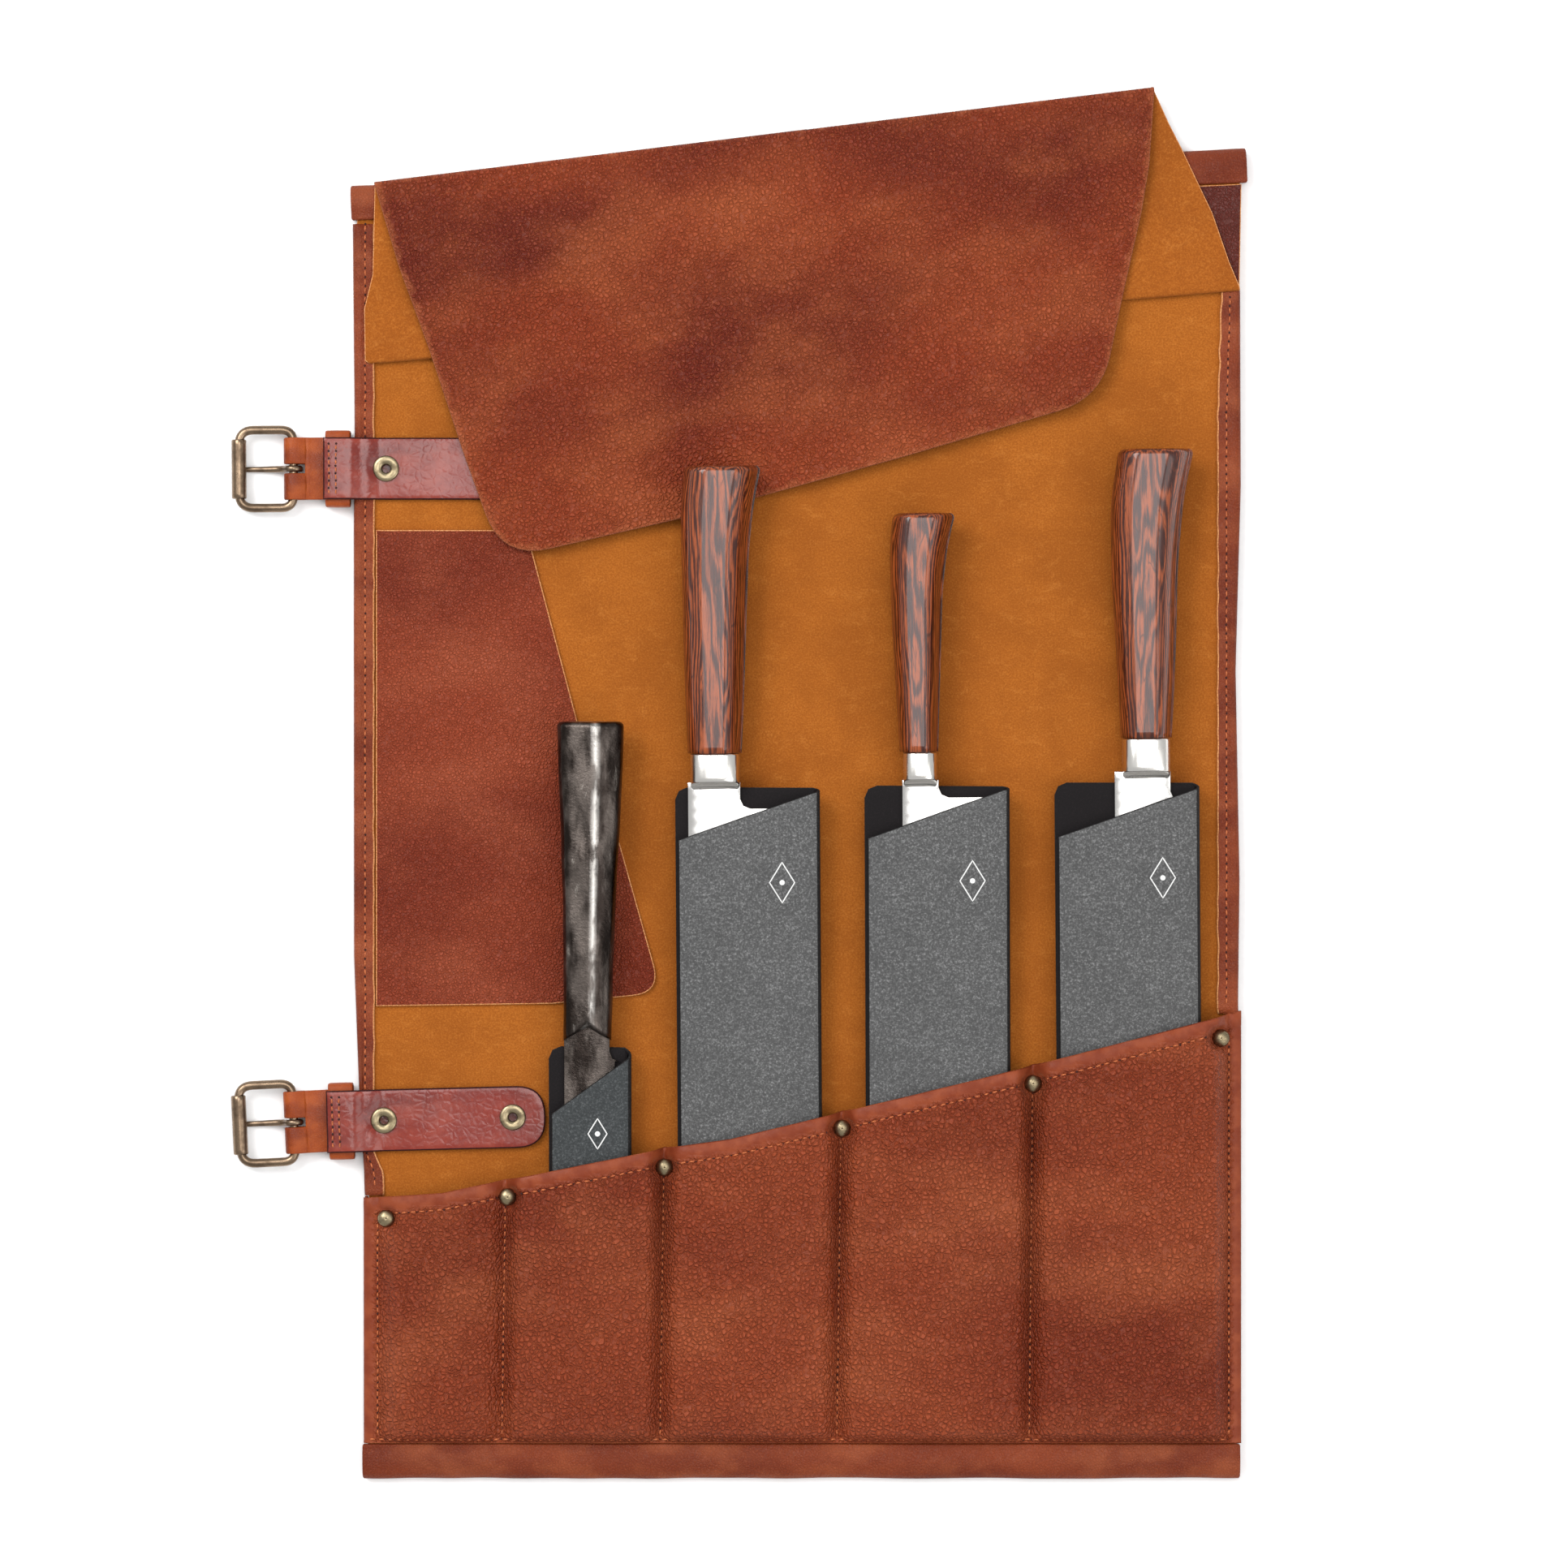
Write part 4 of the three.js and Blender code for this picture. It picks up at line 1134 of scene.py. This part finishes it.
def add_buckle(name, matrix):
    tall = BUCKLE_WIDTH / 2 - WIRE_RADIUS
    loop = rounded([(-BAR_TO_ROLLER, -tall, 6), (0, -tall, 5), (0, tall, 5), (-BAR_TO_ROLLER, tall, 6)])
    loop = spaced(loop, 1.3)
    path = np.column_stack([loop, np.full(len(loop), BAR_HEIGHT)])
    ring = loft(f"buckle_frame_{name}_wire", wire(path, WIRE_RADIUS), [brass], closed=True, matrix=matrix)
    fitted(ring, f"buckle_{name}", "antique_brass", f"buckle_frame_{name}")

    profile = fine_profile([(2.4, -12), (2.7, -12), (3.0, -11.6), (3.0, 11.6), (2.7, 12), (2.4, 12)], 1.5)
    axle = matrix @ placed(-BAR_TO_ROLLER, 0, BAR_HEIGHT)
    tube = turned(f"buckle_roller_{name}_tube", profile, [brass], axle, axis="Y")
    fitted(tube, f"roller_{name}", "antique_brass", f"buckle_roller_{name}")

    eye = [(x, 0, z) for x, z in round_about(0, BAR_HEIGHT, 2.95, np.linspace(-2.0, 3.0, 22))]
    path = eye + [(-4.2, 0, 3.6), (-6.8, 0, 2.4), (-10, 0, 1.75), (-14, 0, 1.3),
                  (-19, 0, 1.15), (-22, 0, 1.1), (-24, 0, 1.1)]
    path = np.array(path)
    radii = np.concatenate([np.full(len(eye), 1.0), [1.05, 1.05, 1.0, 0.9, 0.75, 0.65, 0.35]])
    rings = []
    for i, (point, radius) in enumerate(zip(path, radii)):
        tangent = unit(path[min(i + 1, len(path) - 1)] - path[max(i - 1, 0)])
        other = np.cross(tangent, (0, 1, 0))
        flat = 1.25 if i < len(eye) + 4 else 1.45
        rings.append([point + radius * (np.array([0, flat, 0]) * math.cos(a)
                                        + other * math.sin(a))
                      for a in np.arange(12) * math.tau / 12])
    prong = loft(f"buckle_prong_{name}_pin", rings, [brass], matrix=matrix)
    fitted(prong, f"prong_{name}", "antique_brass", f"buckle_prong_{name}")

    add_chape(name, matrix)


def add_chape(name, matrix):
    """Leather folded round the buckle's bar, slotted for the prong."""
    half, slot_edge, bore = STRAP_WIDTH / 2, 1.9, 2.45

    def top_at(x):
        return 6.6 + 2.45 * (1 - float(smooth(x / 8.5)))

    def bottom_at(x):
        return 3.3 - 1.95 * (1 - float(smooth(x / 8.5)))

    def loop_profile(swell):
        """Section of a loop: round the bar outside, and back along its bore."""
        turn = np.linspace(math.pi * 0.5, math.pi * 1.5, 17)
        lower = [(x, bottom_at(x) - swell) for x in (1.5, 3, 4.5, 5.6)]
        upper = [(x, top_at(x) + swell) for x in (5.6, 4.5, 3, 1.5)]
        return [*round_about(0, BAR_HEIGHT, 3.85 + swell, turn), *lower, (5.6, 4.4),
                *round_about(0, BAR_HEIGHT, bore, turn[::-1]), (5.6, 5.9), *upper]

    def across(low, high, middle=0.0):
        """Places across the strap, and how far the leather draws in there."""
        return [(low, 0.35), (low + 0.25, 0.1), (low + 0.6, 0), ((low + high) / 2, middle),
                (high - 0.6, 0), (high - 0.25, 0.1), (high, 0.35)]

    parts = []
    for low, high in ((-half, -slot_edge), (slot_edge, half)):
        rings = [[(x, y, z) for x, z in loop_profile(-s)] for y, s in across(low, high, -0.02)]
        parts.append(loft("chape_loop", rings, [orange], matrix=matrix))
    rings = []
    for y, s in across(-half, half):
        stations = (4.9, 6.5, 8.5, 12, 16, 20, 23.4 - s)
        rings.append([(x, y, bottom_at(x) + s) for x in stations]
                     + [(x, y, top_at(x) - s) for x in stations[::-1]])
    parts.append(loft("chape_tongue", rings, [orange], matrix=matrix))
    fitted(joined(f"chape_{name}_leather", parts), "roll", "orange_leather", f"chape_{name}")


# Knives and guards

POCKET_FLOOR = -263.7
BLADE_LEVEL = 2.7
FORGED_CENTRE = 15.8
knives = [
    dict(left=-24.2, tilt=1.8, yaw=0.4, width=58.7, slant=(240.9, 261), top=262.5, mark=(17.4, -39.9),
         spine=5.2, neck=26.5, heel=253.8, edge=51, tip=48, ferrule=(263.6, 276.1, 6.4, 26.3),
         lefts=[(5.6, 266), (5.2, 276.2), (4, 316.2), (3, 373.7), (4.8, 392.6)],
         rights=[(26.5, 266), (28.1, 295), (29.3, 326.7), (30.6, 358.4), (32.9, 379.2),
                 (35.8, 392.2)]),
    dict(left=51.9, tilt=1.7, yaw=0.25, width=58.8, slant=(241.6, 262.2), top=263.2, mark=(94.5, -39.2),
         spine=15.3, neck=30.1, heel=258.4, edge=54, tip=82,
         ferrule=(264.6, 276.7, 15.8, 29.5),
         lefts=[(14.8, 266), (13.3, 295), (11.4, 326.7), (10.4, 361.4), (12.1, 373.5)],
         rights=[(29.6, 266), (30.4, 295), (31.3, 321.5), (31.9, 342.6), (34.1, 361.4),
                 (37.2, 373.1)]),
    dict(left=130.1, tilt=1.55, yaw=0.5, width=58.7, slant=(242.2, 262), top=264.4, mark=(171.6, -38.0),
         spine=24.3, neck=47, heel=256.5, edge=50, tip=50, ferrule=(267.8, 282.1, 27.6, 46.8),
         lefts=[(27.4, 272), (25.7, 310), (23.8, 343.6), (23.4, 377.2), (26.9, 399.2)],
         rights=[(47, 272), (48.7, 301), (49.9, 326.7), (50.5, 351.8), (53.2, 380.5),
                 (57.4, 399)]),
    dict(left=-77.3, tilt=2.4, yaw=0.0, width=33.6, slant=(130, 153.8), top=157.5, mark=(-57.4, -141.8),
         spine=6.3, neck=24.8, heel=151.5, edge=27, tip=40, ferrule=None,
         lefts=[(6, 158), (6.2, 170), (5.8, 220), (4.2, 270), (3.4, 289.3)],
         rights=[(25.4, 158), (25.6, 170), (27.4, 220), (30.2, 270), (30.6, 289.3)]),
]


def side_curve(points, v):
    """Smooth side of a grip at each height."""
    xs, ys = np.array(points, float).T
    fine = np.linspace(ys[0], ys[-1], 160)
    line = np.interp(fine, ys, xs)
    kernel = np.hanning(41)
    kernel /= kernel.sum()
    padded = np.concatenate([2 * line[0] - line[20:0:-1], line, 2 * line[-1] - line[-2:-22:-1]])
    return np.interp(v, fine, np.convolve(padded, kernel, "valid"))


def guard_sheet(name, knife, matrix, fold_in, radius, low, half, front, back, step, looks, rim,
                zone):
    """Board or lining of a guard, folded round its closed side.

    front gives the inner corner's x and y and how far the open edge lies above the slant
    there and at the fold; back gives the points of the side underneath.
    """
    slant, line = knife["slant"], knife["width"] - fold_in
    surface, unfold, bend = folded(np.array([(line, 0.0), (line, 10.0)]), radius, low, (-1, -1), half)
    x, y, above, above_fold = front
    at_fold = slant[0] + above_fold + (slant[1] - slant[0]) * line / knife["width"]
    outline = [(x, y), (x, slant[0] + above), (line, at_fold)]
    outline = np.concatenate([outline, unfold([(line, back[0]), *back[1:], (line, y)])])[::-1]
    return leaf(name, outline, step, surface, looks, rim=rim, matrix=matrix, bend=bend, bend_zone=zone)


def add_guard(number, knife, matrix):
    width, top, body = knife["width"], knife["top"], f"guard_{number}"
    small = number == 4
    # The board's cut edges and the outer part of its fold are near-black; on the fold it is painted
    # shade.
    looks = [small_board if small else board, liner_black, board_edge_and_fold_shade, board_edge_and_fold_shade]
    shell = guard_sheet(f"guard_{number}_board", knife, matrix, 2.7, 2.2, 4.9, 0.5, (1.3, 0, 0.4, 0),
                        (top - 0.5, (5, top), (1.5, top - 1.5), (0, top - 5), (0, 0)), 3.0, looks,
                        0.35, 3)
    foot = [(0.3, 0.1), (width - 1.6, 0.1), (width - 0.9, 0.5), (width - 1.6, 0.95), (0.3, 0.95)]
    rings = [[(u, v, w) for u, v in foot] for w in (0.6, 1.2, 2.7, 4.2, 4.8)]
    shell = joined(shell.name, [shell, loft("guard_end", rings, looks, matrix=matrix)])
    slot = "small_guard_board" if small else "guard_board"
    fitted(shell, body, slot, f"guard_{number}_shell")
    liner = guard_sheet(f"guard_{number}_lining", knife, matrix, 3.1, 1.2, 3.9, 0.18,
                        (0.3, 1.3, -0.8, -0.9),
                        (top - 1.0, (5, top - 0.4), (1.8, top - 1.8), (0.3, top - 5.2), (0.3, 1.3)),
                        3.5, [liner_black] * 3, 0.15, 0)
    fitted(liner, body, "black_liner", f"guard_{number}_liner")

    local = matrix.inverted() @ Vector((*knife["mark"], 16))
    size = 6.2 if small else 8.2
    path = spaced([(0, size), (size * 0.62, 0), (0, -size), (-size * 0.62, 0)], 1.0)
    path = np.column_stack([path + (local.x, local.y), np.full(len(path), 5.43)])
    mark = loft(f"guard_{number}_mark", wire(path, 0.28, 8), [print_white], closed=True, matrix=matrix)
    dot = turned("dot", [(0.01, 5.3), (1.1, 5.3), (1.1, 5.5), (0.8, 5.58), (0.01, 5.58)],
                 [print_white], matrix @ placed(local.x, local.y), 24)
    fitted(joined(mark.name, [mark, dot]), body, slot)


def add_blade(number, knife, matrix):
    spine, neck, heel, edge, tip = (knife[k] for k in ("spine", "neck", "heel", "edge", "tip"))
    if knife["ferrule"]:
        neck_top = knife["ferrule"][0] + 0.9
        centre = (knife["ferrule"][2] + knife["ferrule"][3]) / 2
    else:
        neck_top, centre = 166.0, FORGED_CENTRE
    outline = [(spine, neck_top), (spine, tip + 40)]
    outline += curve((spine, tip + 40), (spine, tip + 12), (spine + 5, tip), np.linspace(0.15, 1, 7))
    outline += curve((spine + 5, tip), (edge - 3, tip + 30), (edge, tip + 110), np.linspace(0.1, 1, 12))
    outline += [(edge, heel), (neck + 4, heel), (neck + 1.2, heel + 1.2), (neck, heel + 4),
                (neck, neck_top)]

    def surface(xy):
        """Flat, and thinner towards the edge."""
        t = np.clip((xy[:, 0] - spine) / (edge - spine), 0, 1)
        middle, up, half = level(BLADE_LEVEL, 1.4)(xy)
        return middle, up, np.where(xy[:, 1] > heel, half, half - 0.5 * t ** 2)

    metal, slot = (steel, "polished_steel") if knife["ferrule"] else (forged, "forged_steel")
    blade = leaf(f"knife_{number}_steel", np.array(outline), 3.0, surface,
                 [metal] * 3, rim=0.25, matrix=matrix)
    tang = [[(centre + u, v, BLADE_LEVEL + w) for u, w in
             ((-3.5, -0.6), (3.5, -0.6), (3.5, 0.6), (-3.5, 0.6))]
            for v in (neck_top - 2, neck_top + 8, neck_top + 20)]
    blade = joined(blade.name, [blade, loft("tang", tang, [metal] * 3, matrix=matrix)])
    fitted(blade, f"knife_{number}", slot, f"knife_{number}_blade")


def grip_rings(knife, start, section, end_round):
    """Rings up a grip; the last ones draw in to round its end."""
    finish = knife["lefts"][-1][1]
    stations = [(v, 0.0) for v in np.arange(start, finish - end_round - 0.5, 2.5)]
    for a in np.linspace(0, math.pi / 2, 7):
        stations.append((finish - end_round + end_round * math.sin(a), end_round * (1 - math.cos(a))))
    rings = []
    for v, draw_in in stations:
        left = float(side_curve(knife["lefts"], v)) + draw_in
        right = float(side_curve(knife["rights"], v)) - draw_in
        rings.append(section(v, left, right, draw_in))
    return rings


def add_wood_grip(number, knife, matrix):
    low, high, left, right = knife["ferrule"]
    across = (right - left) / 2
    centre = (left + right) / 2
    sides = 64
    angles = np.arange(sides) * math.tau / sides

    def squared(value):
        return math.copysign(abs(value) ** 0.66, value)

    def oval(v, a, b):
        return [(centre + a * squared(math.cos(t)), v, BLADE_LEVEL + b * squared(math.sin(t)))
                for t in angles]

    def arched(v, a, b):
        return [(x, y + 1.1 * abs(math.sin(t)) ** 0.7, z) for (x, y, z), t in zip(oval(v, a, b), angles)]

    rings = [arched(low - 2.6, across - 0.6, 1.25), arched(low - 1.9, across - 0.3, 1.7),
             arched(low - 1.2, across - 0.1, 2.9), arched(low - 0.6, across, 5.0),
             arched(low - 0.1, across, 7.6), arched(low + 0.1, across, 8.3),
             arched(low + 0.5, across, 8.6), oval(low + 3, across, 8.6),
             oval(high - 0.6, across, 8.6), oval(high - 0.25, across - 0.12, 8.5),
             oval(high, across - 0.4, 8.2)]
    collar = loft(f"knife_{number}_collar", rings, [ferrule_steel], matrix=matrix)
    fitted(collar, f"knife_{number}", "polished_steel", f"knife_{number}_ferrule")

    def section(v, left, right, draw_in):
        a, c = (right - left) / 2, (right + left) / 2
        full = 9.3 - draw_in * 0.9
        ring = []
        for t in angles:
            x = math.cos(t)
            shoulder = max(0.0, (abs(x + 0.06) - 0.40) / 0.60)
            z = full * max(0.0, 1 - 0.30 * shoulder - 0.70 * shoulder ** 2.6)
            z *= min(1.0, (1.0001 - x * x) * 9) ** 0.5
            ring.append((c + a * x, v, BLADE_LEVEL + math.copysign(z, math.sin(t))))
        return ring

    rings = grip_rings(knife, high + 0.25, section, 2.6)
    grip = loft(f"knife_{number}_wood", rings, [wood], matrix=matrix)
    fitted(grip, f"knife_{number}", "laminated_wood", f"knife_{number}_handle")


def add_forged_grip(number, knife, matrix):
    sides = 72
    angles = np.arange(sides) * math.tau / sides
    start, finish = 160.2, knife["lefts"][-1][1]

    # Place and width of the painted highlight across the grip.
    highlight_at, highlight_width = 0.17, 0.085
    roof_x = [-1, -0.97, -0.86, -0.66, -0.1, 0.02, 0.14, 0.42, 0.56, 0.84, 0.95, 1]
    roof_z = [0, 0.36, 0.66, 0.80, 0.95, 1.0, 0.95, 0.86, 0.77, 0.5, 0.26, 0]

    def section(v, left, right, draw_in):
        a, c = (right - left) / 2, (right + left) / 2
        ring = []
        for t in angles:
            x = math.cos(t)
            full = 8.0 - draw_in
            if math.sin(t) > 0:
                z = full * float(np.interp(x, roof_x, roof_z))
            else:
                z = -full * abs(math.sin(t)) ** 0.75
            blow = float(ripple(np.array([x * 16 + (40 if z < 0 else 0)]),
                                np.array([v * 0.7]), 13, 91)[0])
            z += 0.4 * blow * (1 if z > 0 else -1) * min(1.0, abs(z) / 3)
            up = float(np.clip((v - start) / 12, 0, 1))
            notch = (1 - up) * 8.0 * max(0.0, 1 - abs(c + x * a - FORGED_CENTRE) / 9.5)
            ring.append((c + x * a * (1 + 0.012 * blow), v + notch, BLADE_LEVEL + z))
        return ring

    rings = grip_rings(knife, start, section, 2.2)
    grip = loft(f"knife_{number}_grip", rings, [forged], matrix=matrix)
    # Where the painted highlight runs: a band along the ridge of the grip's upper side.
    bright = np.where(np.sin(angles) > 0, np.exp(-((np.cos(angles) - highlight_at) / highlight_width) ** 2), 0)
    mark(grip.data, "ridge", np.tile(bright, len(rings)))
    fitted(grip, f"knife_{number}", "forged_steel", f"knife_{number}_handle")


def add_knives():
    for number, knife in enumerate(knives, 1):
        matrix = placed(knife["left"], POCKET_FLOOR, FIRST, knife["yaw"], knife["tilt"])
        add_guard(number, knife, matrix)
        add_blade(number, knife, matrix)
        if knife["ferrule"]:
            add_wood_grip(number, knife, matrix)
        else:
            add_forged_grip(number, knife, matrix)


# Studio


def area_light(name, place, size, power):
    """Square lamp aimed at the origin."""
    data = bpy.data.lights.new(name, "AREA")
    data.size = size
    data.energy = power
    light = linked(name, data)
    light.location = place
    light.rotation_euler = (-Vector(place)).to_track_quat("-Z", "Y").to_euler()


def add_studio():
    scene = bpy.context.scene
    mesh = bpy.data.meshes.new("floor")
    half, low = 6.0, -0.0004
    mesh.from_pydata([(-half, -half, low), (half, -half, low), (half, half, low),
                      (-half, half, low)], [], [(0, 1, 2, 3)])
    mesh.materials.append(floor_look())
    linked("floor", mesh)
    scene.world = bpy.data.worlds.new("studio")
    scene.world.use_nodes = True
    white, strength = scene.world.node_tree.nodes["Background"].inputs[:2]
    white.default_value = (1.0, 1.0, 1.0, 1)
    strength.default_value = 0.62
    area_light("key", (-1.1, 1.0, 1.7), 1.1, 34)
    area_light("fill", (1.4, -0.7, 1.6), 1.5, 16)
    area_light("overhead", (0.3, 0.5, 3.3), 1.6, 36)
    lens = bpy.data.cameras.new("camera")
    distance, leather_top = 2.6, 0.006
    seen_width = 0.6376
    lens.angle = 2 * math.atan(seen_width / 2 / (distance - leather_top))
    lens.clip_end = 50
    scene.camera = linked("camera", lens)
    scene.camera.location = (0.01815, 0.0, distance)
    scene.view_settings.view_transform = "Standard"


add_studio()
add_panel()
add_hem("hem_top", (-157.7, 229.1), 364.7, math.degrees(0.0423))
add_hem("hem_bottom", (203.7, -268.3), 357, 180)
add_turns()
add_pocket()
add_rivets()
add_flaps()
for strap_name, strap_facts in straps.items():
    add_strap(strap_name, strap_facts)
add_knives()
